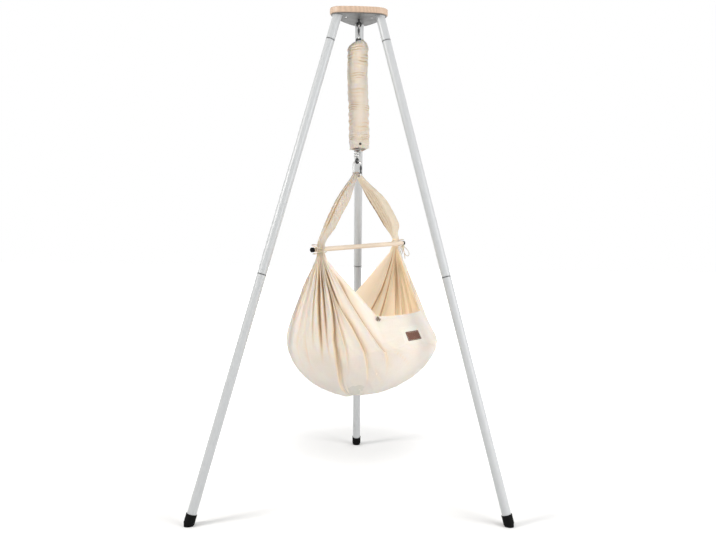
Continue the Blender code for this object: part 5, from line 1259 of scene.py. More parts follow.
def cloth_lines(fans, corner, hem):
    """Where each line of the cloth meets the belly, and where it starts on the rim.

    Round each end the lines fan out of an oval neck. Between the ends the rim runs straight down a
    corner, level along the side and up the other corner. Gives the belly angles, the rim's points and
    which lines are in a fan. fans gives the counts of lines in the far and the near fan.
    """
    angles, rims, in_fan = [], [], []
    first, last = FAN_HALF_ANGLE + HEM_CORNER, 180 - FAN_HALF_ANGLE - HEM_CORNER
    down = np.linspace(0, 1, corner + 1)[1:, None]
    back = down[::-1]
    level = np.linspace(first, last, hem)
    for base, fan in ((0.0, fans[0]), (180.0, fans[1])):
        spread = FAN_HALF_ANGLE * np.linspace(-1, 1, fan)
        rim = rim_at(np.radians(base + spread))
        other = rim_at(np.radians(base + 180 - FAN_HALF_ANGLE))
        side = hem_points(np.radians(base + level))
        turns = [spread, FAN_HALF_ANGLE + HEM_CORNER * down[:, 0], level[1:-1]]
        turns += [180 - FAN_HALF_ANGLE - HEM_CORNER * back[:, 0]]
        angles.append(base + np.concatenate(turns))
        rims += [rim, rim[-1] + (side[0] - rim[-1]) * down, side[1:-1], other + (side[-1] - other) * back]
        in_fan.append(np.arange(len(angles[-1])) < fan)
    return np.radians(np.concatenate(angles)), np.concatenate(rims), np.concatenate(in_fan)


def fold_relief(angle, down):
    """Depth of the long folds, and how far each point lies in a fold's gutter, which sets painted shade.

    Each fold is a ridge along its own line: it rises over its width on one side and drops in a sixth of
    that on the other, with a shallow trough after it. The gutter, painted shade, is a narrow bell curve at
    the foot of the drop, with a wide faint one beside it.
    """
    degrees = belly_degrees(angle)
    total = gutter = np.zeros(np.broadcast_shapes(np.shape(angle), np.shape(down)))
    for rows, places, width, depth, drop in FOLDS:
        x = (degrees - np.interp(down, rows, places)) / width * -drop
        ridge = np.where(x >= 0, np.clip(1 - x, 0, 1) ** 2, 1 - smooth(-x, 0.0, 0.17))
        trough = -0.30 * np.exp(-(((x + 0.30) / 0.15) ** 2))
        first, last = rows[0], rows[-1]
        length = last - first
        fade = smooth(down, first - 0.05, first + min(0.22, length * 0.4))
        fade = fade * (1 - smooth(down, last - length * 0.5, last + 0.03))
        total = total + depth * (ridge + trough) * fade
        # Painted shade along each fold's gutter, with a wide faint halo of it.
        side, narrow = (0.17, 0.15) if depth > 0 else (-0.25, 0.26)
        strength = min(1.0, abs(depth) / 0.010) * np.sqrt(fade)
        line = np.exp(-(((x + side) / narrow) ** 2))
        halo = 0.25 * np.exp(-(((x + side + 0.25) / 0.38) ** 2))
        gutter = np.maximum(gutter, strength * np.maximum(line, halo))
    return total, gutter


def gather_relief(angle, down, fan):
    """Fine pleats that leave the gathers: uneven sharp ridges round the fan, deepest a quarter of the way
    down, and how far each point lies between two of them, which sets painted shade there."""
    drift = 0.06 * np.sin(down * 5 + angle * 4)
    wave = angle * 27 + 1.5 * np.sin(angle * 7) + 0.9 * np.sin(angle * 3 + 1) + drift * 4
    share = np.abs(np.sin(wave)) ** 0.75
    finer = np.abs(np.sin(wave * 1.73 + 0.9 + drift * 9)) ** 0.9
    uneven = 0.55 + 0.45 * np.sin(angle * 11 + 2.0) * np.sin(angle * 5 - 0.6)
    deep = (0.0020 + 0.0044 * smooth(down, 0.0, 0.14)) * (1 - smooth(down, 0.18, 0.85)) * uneven
    fine = 0.0020 * (1 - smooth(down, 0.05, 0.50))
    fade = fan * (1 - smooth(down, 0.7, 1.05))
    relief = (deep * (1 - 1.7 * share) + fine * (1 - 1.6 * finer)) * fade
    # Painted shade between the pleats.
    between = 0.5 * smooth(finer, 0.6, 1.0) * (1 - smooth(down, 0.1, 0.4))
    between = np.clip(smooth(share * uneven, 0.45, 0.95) + between, 0, 1)
    between = between * fade * (1 - smooth(down, 0.25, 0.85))
    return relief, between


def loose_relief(angle, down):
    """Slow swells of the loose cloth on the belly, and faint creases across them."""
    belly = smooth(down, 0.35, 0.9) * (1 - smooth(down, 1.6, 1.95))
    swell = np.sin(angle * 5 + 2.0 * np.sin(down * 2.3)) + 0.6 * np.sin(angle * 9 - down * 4 + 1)
    crease = (1 - np.abs(np.sin(angle * 11 + down * 9 + np.sin(down * 5)))) ** 4
    second = (1 - np.abs(np.sin(angle * 7 - down * 12 + 2 + np.sin(angle * 4)))) ** 5
    return belly * (0.0028 * swell + 0.0016 * crease + 0.0014 * second)


def cloth_points(lines, down, lift=0.0):
    """Rows of the hammock's cloth, lifted outwards.

    Gives the points, the outward directions and how deep each point lies in a fold, from 0 to 1, which sets
    painted shade in the cloth's material.

    Above the belly a line is a cubic from the rim to the belly that ends upright, below it the bowl's.
    Folds, pleats and swells move it along the outward direction, and so does a slack part that sinks in
    at one corner. The hem's two thicknesses stand out by a millimetre beside the rim.
    """
    angle, rim, in_fan = lines
    down = np.asarray(down, float)[:, None]
    belly = belly_points(angle)
    t = np.clip(down, 0, 1)[..., None]
    reach = belly - rim
    length = np.linalg.norm(reach, axis=1)
    end_slope = -UP * length[:, None] * BELLY_ROUNDING
    upper = (2 * t**3 - 3 * t**2 + 1) * rim + (t**3 - 2 * t**2 + t) * reach
    upper = upper + (3 * t**2 - 2 * t**3) * belly + (t**3 - t**2) * end_slope
    lower, out = bowl(angle, down)
    points = np.where((down > 1)[..., None], lower, upper)
    degrees = belly_degrees(angle)
    fan = smooth(np.abs(np.cos(angle)), 0.55, 0.68)
    corner, slack_depth = FAR_CORNER
    slack = slack_depth * np.exp(-(((degrees - corner) / 15.0) ** 2))
    slack = slack * smooth(down, 0.0, 0.55) * (1 - smooth(down, 0.6, 1.0))
    folds, gutter = fold_relief(angle, down)
    pleats, between = gather_relief(angle, down, fan)
    relief = bpy.context.scene.cradle_cloth.fold_depth * folds + pleats + loose_relief(angle, down)
    amount = relief - slack + lift + seam_relief(degrees, down)
    amount = amount + np.sign(lift + 0.0003) * hem_relief(angle, np.clip(down, 0, 1) * length, in_fan)
    return points + amount[..., None] * out, out, np.clip(gutter + 0.75 * between, 0, 1)


def hem_relief(angle, from_rim, in_fan):
    """The hem's thickness and its puckers, at lengths from the rim. The fans have none."""
    thick = 0.0009 * (1 - smooth(from_rim, 0.0105, 0.0125)) * smooth(from_rim, -0.0005, 0.0012)
    puckers = 0.0007 * np.sin(angle * 160) * np.exp(-(((from_rim - 0.011) / 0.006) ** 2))
    return np.where(in_fan, 0.0, thick + puckers)


def seam_relief(degrees, down):
    """The sewn seam stands a millimetre proud. On the bowl a gutter runs beside it, and a wide swell."""
    away = (degrees - np.interp(down, *SEAM)) / 1.1
    proud = 0.0011 * np.exp(-(away**2) * 1.4)
    gutter = 0.0035 * smooth(down, 0.85, 1.2) * np.exp(-(((away + 1.5) / 0.8) ** 2))
    swell = 0.007 * np.exp(-(((away - 6) / 6.0) ** 2))
    return proud - gutter + swell * smooth(down, 1.1, 1.6) * (1 - smooth(down, 1.75, 2.0))


def neck_rows(rows, lines, count):
    """Rows above the rim: the fans' lines run straight up to the bar, in tight pleats, but stay low on
    the side next to it. Elsewhere they only close the hem's edge."""
    _, rim, in_fan = lines
    end = np.sign(rim[:, 0])
    beside = smooth((rim[:, 1] * end + GATHER_ACROSS) / NECK_HALF_DEPTH, 0.2, 0.95)
    height = np.where(end < 0, bar_height(GATHER_U[-1]), bar_height(GATHER_U[1]))
    rise = np.maximum((height - TOUCH - rim[:, 2]) * (1 - beside), 0.0004)
    rise = np.where(in_fan, rise, 0.0004)
    share = np.linspace(1, 0, count, endpoint=False)[:, None]
    return rows[0][None] + (share * rise)[..., None] * UP


def row_places(*spans):
    """Rows down the cloth from (start, stop, count) spans that follow on each other."""
    parts = [np.linspace(start, stop, count, endpoint=False) for start, stop, count in spans]
    return np.append(np.concatenate(parts), spans[-1][1])


def cloth_side(lines, places, lift, neck_count):
    """One side of the cloth with its necks: the points, and how deep each lies in a fold, which sets
    painted shade; every neck point gets a middling share of it.
    """
    points, _, fold = cloth_points(lines, places, lift)
    neck = neck_rows(points, lines, neck_count)
    # The necks get painted shade of 0.35 throughout.
    return np.concatenate([neck, points]), np.concatenate([0.35 + 0 * neck[..., 0], fold])


def make_hammock():
    """Body of the hammock, its seam and hem stitches."""
    cloth = bpy.context.scene.cradle_cloth
    lines = cloth_lines((cloth.fan_lines * 3 // 4, cloth.fan_lines), 14, 54)
    places = row_places((0, 0.03, 4), (0.03, 0.14, 9), (0.14, 1, 44), (1, 1.97, 32))
    outer, outer_shade = cloth_side(lines, places, 0.0, 8)
    places = row_places((0, 0.14, 9), (0.14, 1, 34), (1, 1.97, 16))
    inner, inner_shade = cloth_side(lines, places, -cloth.thickness, 5)
    rings = to_world(np.concatenate([outer[::-1], inner]))
    # Map: U is the arc round the belly, V the length down one line of the near fan.
    belly = belly_points(lines[0])
    arc = np.cumsum(np.linalg.norm(np.roll(belly, -1, 0) - belly, axis=1))
    fall = lengths(rings[:, 30])
    uv = np.broadcast_arrays(np.append(0, arc)[None], np.append(fall, fall[-1] + 0.01)[:, None])
    body = skin("hammock_cloth", rings, "cotton", uv=np.stack(uv, -1), smooth_deg=180)
    # Inside, painted shade darkens the cloth between the far end and the near side.
    degrees = belly_degrees(lines[0])
    inner_shade = np.maximum(inner_shade, 0.46 * smooth(degrees, -40, 0) * (degrees < 90))
    # inside marks the inner face for its painted warm tint and painted glow.
    inside = np.concatenate([np.zeros(outer.shape[:2]), np.ones(inner.shape[:2])])
    shade_cloth(body, np.concatenate([outer_shade[::-1], inner_shade]), inside)
    stand_for(body, "cradle", ["hammock_body"])
    stitches = stand_for(joined("hammock_stitches", hem_stitches(lines) + seam_stitches()), "cradle")


def one_each(grid):
    """The points of a grid whose row and column are the same."""
    pick = np.arange(len(grid))
    return grid[pick, pick]


def hem_stitches(lines):
    """Two rows of stitches along the rim's straight and level parts, a centimetre in from the edge."""
    angle, rim, in_fan = lines
    reach = np.linalg.norm(belly_points(angle) - rim, axis=1)
    made = []
    starts = np.flatnonzero(in_fan & ~np.roll(in_fan, -1))
    for index, start in enumerate(starts):
        stop = start + np.flatnonzero(np.roll(in_fan, -start - 1))[0]
        pick = np.arange(start + 1, stop + 1) % len(angle)
        part = (angle[pick], rim[pick], in_fan[pick])
        down = 0.0095 / reach[pick]
        levels = np.unique(np.round(np.append(down, [0.0, 0.2]), 4))
        row = np.clip(np.searchsorted(levels, np.round(down, 4)), 0, len(levels) - 1)
        column = np.arange(len(pick))
        for lift, way in ((0.0, 1), (-0.0019, -1)):
            points, out, _ = cloth_points(part, levels, lift)
            path, out = to_world(points[row, column]), turn_to_world(out[row, column])
            made.append(stitch_row(f"hem_stitch_{index}_{way}", path, out * way))
    return made


def seam_stitches():
    """Two rows beside the sewn seam, from the gather to the bottom."""
    made = []
    down = np.linspace(0.10, 1.85, 150)
    for side in (-0.55, 0.55):
        angle = np.radians(np.interp(down, *SEAM) + side)
        points, out, _ = cloth_points((angle, rim_at(angle), np.ones(len(angle), bool)), down)
        path, out = to_world(one_each(points)), turn_to_world(one_each(out))
        made.append(stitch_row(f"seam_stitch_{side}", path, out))
    return made


def patch_points(width, height, exponent, turn, lift):
    """Outline of a rectangle with rounded corners on the side wall, lifted, and the outward directions.
    The corners come from a small exponent on the circle's coordinates."""
    x = np.sign(np.cos(turn)) * np.abs(np.cos(turn)) ** exponent * width / 2
    y = np.sign(np.sin(turn)) * np.abs(np.sin(turn)) ** exponent * height / 2
    angle = np.radians(PATCH_DEGREES + x * math.degrees(1 / BELLY_HALF[0]))
    down = (HEM_HEIGHT - PATCH_HEIGHT - y) / (HEM_HEIGHT - BELLY_HEIGHT)
    points, out, _ = cloth_points((angle, hem_points(angle), np.ones(len(angle), bool)), down, lift)
    return to_world(one_each(points)), turn_to_world(one_each(out))


def patch_piece(name, width, height, lift, thickness, finish, exponent):
    """Plate on the side wall: outlines from the middle of its face out to the edge, down it and back in."""
    levels = [(0.02, 1.0), (0.4, 1.0), (0.8, 1.0), (0.95, 1.0), (0.985, 0.93), (1.0, 0.6), (1.0, 0.0)]
    levels += [(0.9, 0.0), (0.5, 0.0), (0.02, 0.0)]
    turn = full_turn(96)
    rings = [
        patch_points(width * share, height * share, exponent, turn, lift + thickness * rise)[0]
        for share, rise in levels
    ]
    return skin(name, np.array(rings), finish, smooth_deg=50)


def make_patch():
    """Bare leather patch on a backing of lighter cotton, both sewn down along their edges."""
    backing = patch_piece("patch_cotton", 0.138, 0.062, 0.0004, 0.0008, "cotton backing", 0.2)
    stand_for(backing, "cradle", ["patch_backing"])
    leather = patch_piece("patch_leather", 0.084, 0.031, 0.0016, 0.0015, "leather", 0.10)
    stand_for(leather, "cradle", ["leather_patch"])
    made = []
    for width, height, lift in ((0.131, 0.055, 0.0012), (0.078, 0.025, 0.0031)):
        path, out = patch_points(width, height, 0.22, np.linspace(0, 2 * math.pi, 240), lift)
        made.append(stitch_row(f"patch_row_{width}", path, out, 0.0028, 0.0014))
    stitches = stand_for(joined("patch_stitches", made), "cradle")


# Band, bar and cords


def band_path():
    """Middle line of the band in hammock coordinates: up from one gather, over the hook and down."""
    hook_top = SWIVEL_SEAT + TOUCH + STEEL_BAR
    top = UP * (hook_top - HOOK_LENGTH + STEEL_BAR + TOUCH + 0.0075)
    sides = []
    for end in (-1, 1):
        u, v, height = gather_place(end)
        foot = np.array([u, v, height + TOUCH / 2])
        neck = foot + np.array([0, 0, NECK_LENGTH])
        shoulder = top + np.array([end * 0.014, 0, -0.010])
        share = np.linspace(0, 1, 9)[1:, None]
        rise = neck + (shoulder - neck) * share
        rise[:, 0] += end * 0.018 * np.sin(math.pi * share[:, 0]) * (1 - share[:, 0] * 0.3)
        sides.append(np.vstack([foot, neck, rise, top + np.array([end * 0.008, 0, -0.002])]))
    return np.vstack([sides[0], top, sides[1][::-1]])


def band_face(lean, face, far):
    """Height of the folds across the band's face, and how deep each point lies beside one, which sets
    painted shade.

    Near side: a strip that starts with a step at a sewn fold line and has a second line along its edge.
    Far side: ridges with one steep side, each a ramp of the way across, beside a flat flap.
    """
    pleated = smooth(lean, -0.36, -0.28)
    many = np.mod((lean + 0.32) * 3.1, 1.0)
    ridges = (many**1.3) * (1 - smooth(many, 0.84, 1.0))
    strip = smooth(lean, -0.28, -0.21) * (1 - 0.5 * smooth(lean, 0.0, 0.9))
    folds = far * pleated * (0.0075 * (ridges - 0.4)) + (1 - far) * 0.0030 * strip
    lines = np.exp(-(((lean + 0.30) / 0.08) ** 2)) + np.exp(-(((lean - 0.06) / 0.08) ** 2))
    crease = far * pleated * np.exp(-(((many - 0.93) / 0.20) ** 2)) + (1 - far) * lines
    # Painted shade along the fold lines; the same darkening runs along both edges of the band.
    return folds, crease + 0.9 * smooth(face, 0.80, 0.93) + 0.30 * smooth(-face, 0.93, 1.0)


def make_band():
    """Band of folded cloth. Across it the face is a shallow channel: near the first gather one long
    sewn fold runs beside its edge, on the far side narrow folds converge to both ends."""
    count = 220
    path = spline(band_path(), count)
    place = np.linspace(-1, 1, count)
    share = np.abs(place)
    wide = np.interp(share, (0, 0.12, 0.45, 0.75, 0.9, 1), (0.011, 0.011, 0.028, 0.0238, 0.01235, 0.01235))
    thick = np.interp(share, (0, 0.15, 0.3, 0.75, 0.9, 1), (0.0075, 0.0075, 0.0056, 0.0056, 0.0152, 0.0152))
    kernel = np.hanning(21) / np.hanning(21).sum()
    wide, thick = (np.convolve(np.pad(x, 10, mode="edge"), kernel, "valid") for x in (wide, thick))
    middle = smooth(share, 0.15, 0.4) * (1 - smooth(share, 0.7, 0.9))
    far = smooth(place, -0.05, 0.05)
    wide = wide + 0.010 * middle * far
    path[:, 1] += 0.010 * middle * far
    tangent = unit(np.gradient(path, axis=0))
    tangent[0], tangent[-1] = UP, -UP
    across = np.array([0, 1.0, 0])
    outward = unit(np.cross(tangent, across))
    spread = smooth(share, 0.05, 0.3) * (1 - smooth(share, 0.84, 0.97))
    flap = smooth(share, 0.1, 0.45) * (1 - smooth(share, 0.72, 0.98))
    columns = (place, middle, far, wide, thick, spread, flap)
    place, middle, far, wide, thick, spread, flap = (x[:, None] for x in columns)

    turn = full_turn(128)[None]
    c, s = np.cos(turn), np.sin(turn)
    lean = 0.06 * np.sin(place * 6) + 0.03 * np.sin(place * 17) - c
    folds, crease = band_face(lean, -c, far)
    pleats = 0.0016 * np.sin(turn * 13 + 2 * np.sin(turn * 2)) * (1 - spread)
    wrinkle = 0.0009 * np.sin(place * 90 + 5 * c) * np.sin(c * 4 + place * 11) * middle
    amount = thick * s + folds * spread * np.sqrt(np.abs(s)) * np.sign(s) + (pleats + wrinkle) * np.sign(s)
    hollow = 0.008 * middle * (1 - 2 * c**2)
    widening = 1 + (0.50 + 0.15 * far) * flap * smooth(c, 0.0, 1.0)
    rings = path[:, None] + ((wide * widening + pleats * (1 - spread)) * c)[..., None] * across
    rings = to_world(rings + (amount + hollow)[..., None] * outward[:, None])
    band = skin("folded_band", rings, "cotton band", smooth_deg=180)
    # Painted shade along folds and edges, and on the far strand's inner face a painted warm tint and
    # painted glow.
    shade_cloth(band, crease * middle, far * (s < 0))
    stand_for(band, "cradle", ["suspension_band"])
    rows = []
    low, high = 30, 85
    for column in (18, 46):
        line = rings[low:high, column]
        out = unit(line - to_world(path[low:high]))
        rows.append(stitch_row(f"band_row_{column}", line, out))
    stitches = stand_for(joined("band_stitches", rows), "cradle")


def make_bar():
    """Round bar of beech with rubber caps."""
    reach = (BAR_SHIFT - BAR_HALF_LENGTH, BAR_SHIFT + BAR_HALF_LENGTH)
    ends = [np.array([u, 0, float(bar_height(u))]) for u in reach]
    span = np.linalg.norm(ends[1] - ends[0])
    along = (ends[1] - ends[0]) / span
    step = np.array([0.0012, 0.0112, 0.0115, 0.0122])
    at = np.concatenate([step, np.linspace(0.02, span - 0.02, 60), span - step[::-1]])
    radius = np.full(len(at), BAR_RADIUS)
    radius[[0, 1, -1, -2]] = CAPPED_RADIUS
    radius[[2, -3]] = BAR_RADIUS - 0.0004
    rings = tube_rings(to_world(ends[0] + along * at[:, None]), radius, 48, UP)
    bar = skin("beech_bar", rings, "bar wood", smooth_deg=40)
    stand_for(bar, "cradle", ["spreader_bar"])
    inner = CAPPED_RADIUS + TOUCH
    outline = [(0.0003, 0), (0.0078, 0), (BAR_RADIUS, 0.0018), (BAR_RADIUS, 0.0109)]
    outline += [(inner, 0.0109), (inner, 0.0009), (0.0003, 0.0009)]
    rings = turned(round_profile(outline, 0.0008), 40)
    for name, end, way in (("near", ends[0], 1), ("far", ends[1], -1)):
        axis = turn_to_world(along) * way
        axes = axes_at(to_world(end), ACROSS, np.cross(axis, ACROSS), axis)
        cap = skin(f"rubber_cap_{name}", placed(rings, axes), "rubber", smooth_deg=50)
        stand_for(cap, "cradle", [f"bar_cap_{name}"])


def lashing_path(end):
    """Two turns of cord round bar and gather: an oval in plan that widens a little, its height swinging
    once in two turns, so that the turns cross in front of the gather."""
    turn = np.linspace(0, 4 * math.pi, 260)
    gap = CORD_RADIUS * 0.5
    grow = (2 * CORD_RADIUS + gap) * 1.1 * turn / (2 * math.pi)
    front = GATHER_ACROSS + NECK_HALF_DEPTH + CORD_RADIUS + gap
    back = -(BAR_RADIUS + CORD_RADIUS + gap)
    across = NECK_HALF_WIDTH + CORD_RADIUS + gap
    lift = BAR_RADIUS + CORD_RADIUS + 2 * gap
    u = (across + grow) * np.cos(turn)
    v = (front + back) / 2 + ((front - back) / 2 + grow) * np.sin(turn)
    z = math.sqrt(2) * lift * np.cos(turn / 2 + math.pi / 4)
    gather_u, _, height = gather_place(end)
    return np.stack([gather_u - end * u, -end * v, height + z], 1)


def bow_lines(loop, tail):
    """Lines of two loops and two tails in a bow's own axes, right and up and out. A loop is a drop that
    hangs: its width is the sine of the turn times the sine of half of it."""
    lines = []
    for side in (1, -1):
        turn = np.linspace(0.12, 2 * math.pi - 0.12, 60)
        along = loop * (1 - np.cos(turn)) / 2
        wide = loop * 0.30 * np.sin(turn) * np.sin(turn / 2)
        x = along * side * 0.55 + wide * side * 0.83
        y = -along * 0.83 + wide * 0.55
        z = 0.10 * loop * np.sin(turn / 2) ** 2
        lines.append(np.stack([x, y, z], 1))
        fall = np.linspace(0, 1, 30)
        swing = 0.08 * tail * np.sin(fall * math.pi)
        lines.append(np.stack([tail * fall * side * 0.22 + swing * side, -tail * fall * 0.97, -swing], 1))
    return lines


def cord_ball(name, middle, axis, half_length, radius, reference, sides, finish):
    """Ball of cord along an axis, with as many rows as sides."""
    turn = np.linspace(0.05, math.pi - 0.05, sides)
    path = middle - axis * np.cos(turn)[:, None] * half_length
    return skin(name, tube_rings(path, np.sin(turn) * radius, sides, reference), finish)


def make_bow(name, node, centre, right, up, loop, tail, cord, knot, finish="cotton cord"):
    """Bow of cord: two loops, two tails with a knot at each end, and a knot of three turns over them."""
    right, up = unit(right), unit(up)
    out = np.cross(right, up)
    axes = np.stack([right, up, out])
    parts = []
    for index, line in enumerate(bow_lines(loop, tail)):
        path = centre + line @ axes
        parts.append(cord_piece(f"{name}_{index}", path, cord, finish, reference=out + right * 0.2))
        if index % 2:
            axis, size = unit(path[-1] - path[-2]), cord * 1.5
            parts.append(cord_ball(f"{name}_end_{index}", path[-1], axis, size, size, out, 14, finish))
    turn = np.linspace(0, 6 * math.pi, 120)
    roll, along = knot - cord, (turn / (6 * math.pi) - 0.5) * knot * 1.3
    wrap = np.stack([along, roll * np.cos(turn), roll * np.sin(turn)], 1)
    parts.append(cord_piece(f"{name}_wrap", centre + wrap @ axes, cord, finish, reference=right))
    parts.append(cord_ball(f"{name}_core", centre, right, knot * 0.8, knot * 0.72, up, 20, finish))
    return stand_for(joined(name, parts), "cradle", [node])


def make_cords():
    """Lashings at both gathers, the bow at the far one and the small tie at the opening's corner."""
    for name, end in (("near", -1), ("far", 1)):
        path = to_world(lashing_path(end))
        cord = cord_piece(f"lashing_cord_{name}", path, CORD_RADIUS, "cotton cord", reference=UP + 0.01)
        stand_for(cord, "cradle", [f"lashing_{name}"])
    knot, shift = 0.0055, 0.0046
    u = GATHER_U[1] + NECK_HALF_WIDTH + 4 * CORD_RADIUS + knot + 0.006
    drop = math.sqrt((BAR_RADIUS + knot + TOUCH) ** 2 - shift**2)
    centre = world(u, -shift, float(bar_height(u)) - drop)
    make_bow("cord_bow", "gather_bow", centre, -ACROSS, UP, 0.050, 0.055, CORD_RADIUS, knot)
    corner = math.radians(180 - FAN_HALF_ANGLE - HEM_CORNER)
    rim = hem_points(corner)
    up = unit(rim - belly_points(corner))
    right = np.array([-math.sin(corner), math.cos(corner), 0])
    centre = to_world(rim + np.cross(right, up) * 0.0034 - up * 0.003)
    right, up = turn_to_world(right), turn_to_world(up)
    make_bow("hem_tie_bow", "hem_tie", centre, right, up, 0.014, 0.016, 0.001, 0.003, "waxed cord")


# Mattress


def mattress_rings(shrink):
    """Pad that follows the bottom of the hammock: rows under it, a rounded edge and rows over it."""
    angle, _, _ = cloth_lines((36, 36), 4, 16)

    def rows(down, lift):
        """The bowl moved inwards, without its folds."""
        points, out = bowl(angle, np.asarray(down, float)[:, None])
        return points - np.asarray(lift)[:, None, None] * out

    low = rows(np.linspace(1.42, 1.95, 12), np.full(12, 0.0045 + shrink))[::-1]
    edge = rows([1.405, 1.41], [0.010 + shrink, 0.020])
    lift = 0.0045 + 0.030 * smooth(np.linspace(0, 1, 12), -0.5, 0.25) - shrink
    high = rows(np.linspace(1.46, 1.95, 12), lift)
    return to_world(np.concatenate([low, edge, high]))


def make_mattress():
    """Padded mattress: the plain pad is filled by a cloth simulation and gets its piping afterwards."""
    pad = skin("mattress_pad", mattress_rings(0.003), "mattress cover", smooth_deg=180)
    puff(pad, 0.007)
    stand_for(pad, "cradle", ["mattress"])
    edge = mattress_rings(0.0)[12:14].mean(0)
    edge = np.vstack([edge, edge[:1]])
    piping = cord_piece("mattress_piping", edge, 0.0022, "mattress cover", reference=UP)
    stand_for(piping, "cradle")


def puff(obj, cap):
    """Remeshes a pad, blows it up with the cloth solver and limits how far each point may move."""
    bpy.context.view_layer.objects.active = obj
    remesh = obj.modifiers.new("remesh", "REMESH")
    remesh.mode = "VOXEL"
    remesh.voxel_size = 0.006
    bpy.ops.object.modifier_apply(modifier=remesh.name)
    count = len(obj.data.vertices)
    start = np.empty(count * 3)
    obj.data.vertices.foreach_get("co", start)
    cloth = obj.modifiers.new("fill", "CLOTH")
    cloth.settings.use_pressure = True
    cloth.settings.uniform_pressure_force = 4.0
    cloth.settings.effector_weights.gravity = 0.0
    cloth.settings.quality = 5
    scene = bpy.context.scene
    for step in range(1, 15):
        scene.frame_set(step)
    bpy.ops.object.modifier_apply(modifier=cloth.name)
    scene.frame_set(1)
    end = np.empty(count * 3)
    obj.data.vertices.foreach_get("co", end)
    move = (end - start).reshape(-1, 3)
    size = np.linalg.norm(move, axis=1, keepdims=True)
    move = move * np.minimum(1, cap / np.maximum(size, 1e-9))
    obj.data.vertices.foreach_set("co", start + move.reshape(-1))
    layers = obj.data.uv_layers
    layer = layers[0] if layers else layers.new(name="UVMap")
    loops = np.empty(len(obj.data.loops), np.int64)
    obj.data.loops.foreach_get("vertex_index", loops)
    flat = (start + move.reshape(-1)).reshape(-1, 3)[loops, :2]
    layer.data.foreach_set("uv", flat.astype(np.float32).reshape(-1))
    obj.data.shade_smooth()
    obj.data.update()


# Stage


def floor_material(glow):
    """Pale studio floor. It glows for the camera until it runs into the white background, but less close
    to the three feet, where their shadows show: the glow steps up over the distance to the nearest foot."""
    material, tree, shader = base_material("studio floor", Roughness=0.9, Specular_IOR_Level=0.0)
    path = put(tree, "ShaderNodeLightPath")
    seen = math_node(tree, "MAXIMUM", path.outputs["Is Camera Ray"], path.outputs["Is Glossy Ray"])
    place = put(tree, "ShaderNodeTexCoord").outputs["Object"]
    nearest = None
    for name in LEG_AZIMUTH:
        values = {0: place, 1: tuple(leg_matrix(name).translation)}
        away = put(tree, "ShaderNodeVectorMath", values, operation="DISTANCE").outputs["Value"]
        nearest = away if nearest is None else math_node(tree, "MINIMUM", nearest, away)
    values = {"Value": nearest, "From Min": 0.12, "From Max": 0.75, "To Min": 0.04, "To Max": glow}
    near = put(tree, "ShaderNodeMapRange", values, interpolation_type="SMOOTHSTEP").outputs[0]
    values = {"Value": nearest, "From Min": 0.6, "From Max": 3.0, "To Min": 0.0, "To Max": 1.0}
    far = put(tree, "ShaderNodeMapRange", values).outputs[0]
    level = math_node(tree, "MAXIMUM", near, far)
    strength = math_node(tree, "MULTIPLY", seen, level)
    values = {"Base Color": (0.86, 0.86, 0.86), "Emission Color": WHITE, "Emission Strength": strength}
    feed(tree, shader, values)
    return material


def add_light(name, place, target, size, power, colour=WHITE):
    """A rectangular soft light that faces its target."""
    light = bpy.data.lights.new(name, "AREA")
    light.shape = "RECTANGLE"
    light.size, light.size_y = size
    light.energy = power
    light.color = colour
    obj = bpy.data.objects.new(name, light)
    bpy.context.scene.collection.objects.link(obj)
    obj.location = place
    obj.rotation_euler = (Vector(target) - Vector(place)).to_track_quat("-Z", "Y").to_euler()


def make_stage():
    """White floor and world, soft lights and the camera of the photograph."""
    settings = bpy.context.scene.cradle_stage
    square = np.array([[0, 0], [1, 0], [1, 1], [0, 1]])
    corners = np.column_stack([FLOOR_HALF * (2 * square - 1), np.full(4, -0.0005)])
    floor = mesh_piece("floor", corners, [[0, 1, 2, 3]], square, floor_material(settings.floor_glow))
    scene = bpy.context.scene
    scene.view_settings.view_transform = "Standard"
    background = bpy.data.worlds.new("studio")
    scene.world = background
    background.use_nodes = True
    tree = background.node_tree
    lit = tree.nodes["Background"]
    feed(tree, lit, {"Color": (1.0, 0.995, 0.985), "Strength": settings.world_level})
    white = put(tree, "ShaderNodeBackground", {"Color": WHITE, "Strength": 1.0})
    path = put(tree, "ShaderNodeLightPath")
    seen = math_node(tree, "MAXIMUM", path.outputs["Is Camera Ray"], path.outputs["Is Transmission Ray"])
    seen = math_node(tree, "MAXIMUM", seen, path.outputs["Is Glossy Ray"])
    both = put(tree, "ShaderNodeMixShader", {0: seen, 1: lit.outputs[0], 2: white.outputs[0]})
    feed(tree, tree.nodes["World Output"], {"Surface": both.outputs[0]})
    middle = (0.0, AXIS_Y, 0.95)
    add_light("key", (-3.0, -1.7, 2.7), middle, (1.0, 1.0), settings.key_power, (1.0, 0.985, 0.96))
    add_light("fill", (3.0, -2.2, 1.8), middle, (2.0, 2.5), settings.fill_power)
    add_light("top", (0.0, -0.6, 4.6), middle, (3.0, 3.0), settings.top_power)
    add_camera()


def add_camera():
    """The photograph's viewpoint, found by fitting a camera to it. It looks slightly down."""
    camera = bpy.data.cameras.new("camera")
    camera.sensor_width = 36.0
    camera.lens = 38.61
    camera.shift_x = -0.0631
    obj = bpy.data.objects.new("camera", camera)
    bpy.context.scene.collection.objects.link(obj)
    turn, pitch, roll = 0.0398, 0.0692, 0.0176
    level = math.cos(pitch)
    forward = Vector((math.sin(turn) * level, math.cos(turn) * level, -math.sin(pitch)))
    aim = forward.to_track_quat("-Z", "Y").to_matrix().to_4x4()
    obj.matrix_world = Matrix.Translation((0.0707, -3.3734, 1.1752)) @ aim @ Matrix.Rotation(roll, 4, "Z")
    bpy.context.scene.camera = obj


# Settings, operators and panel


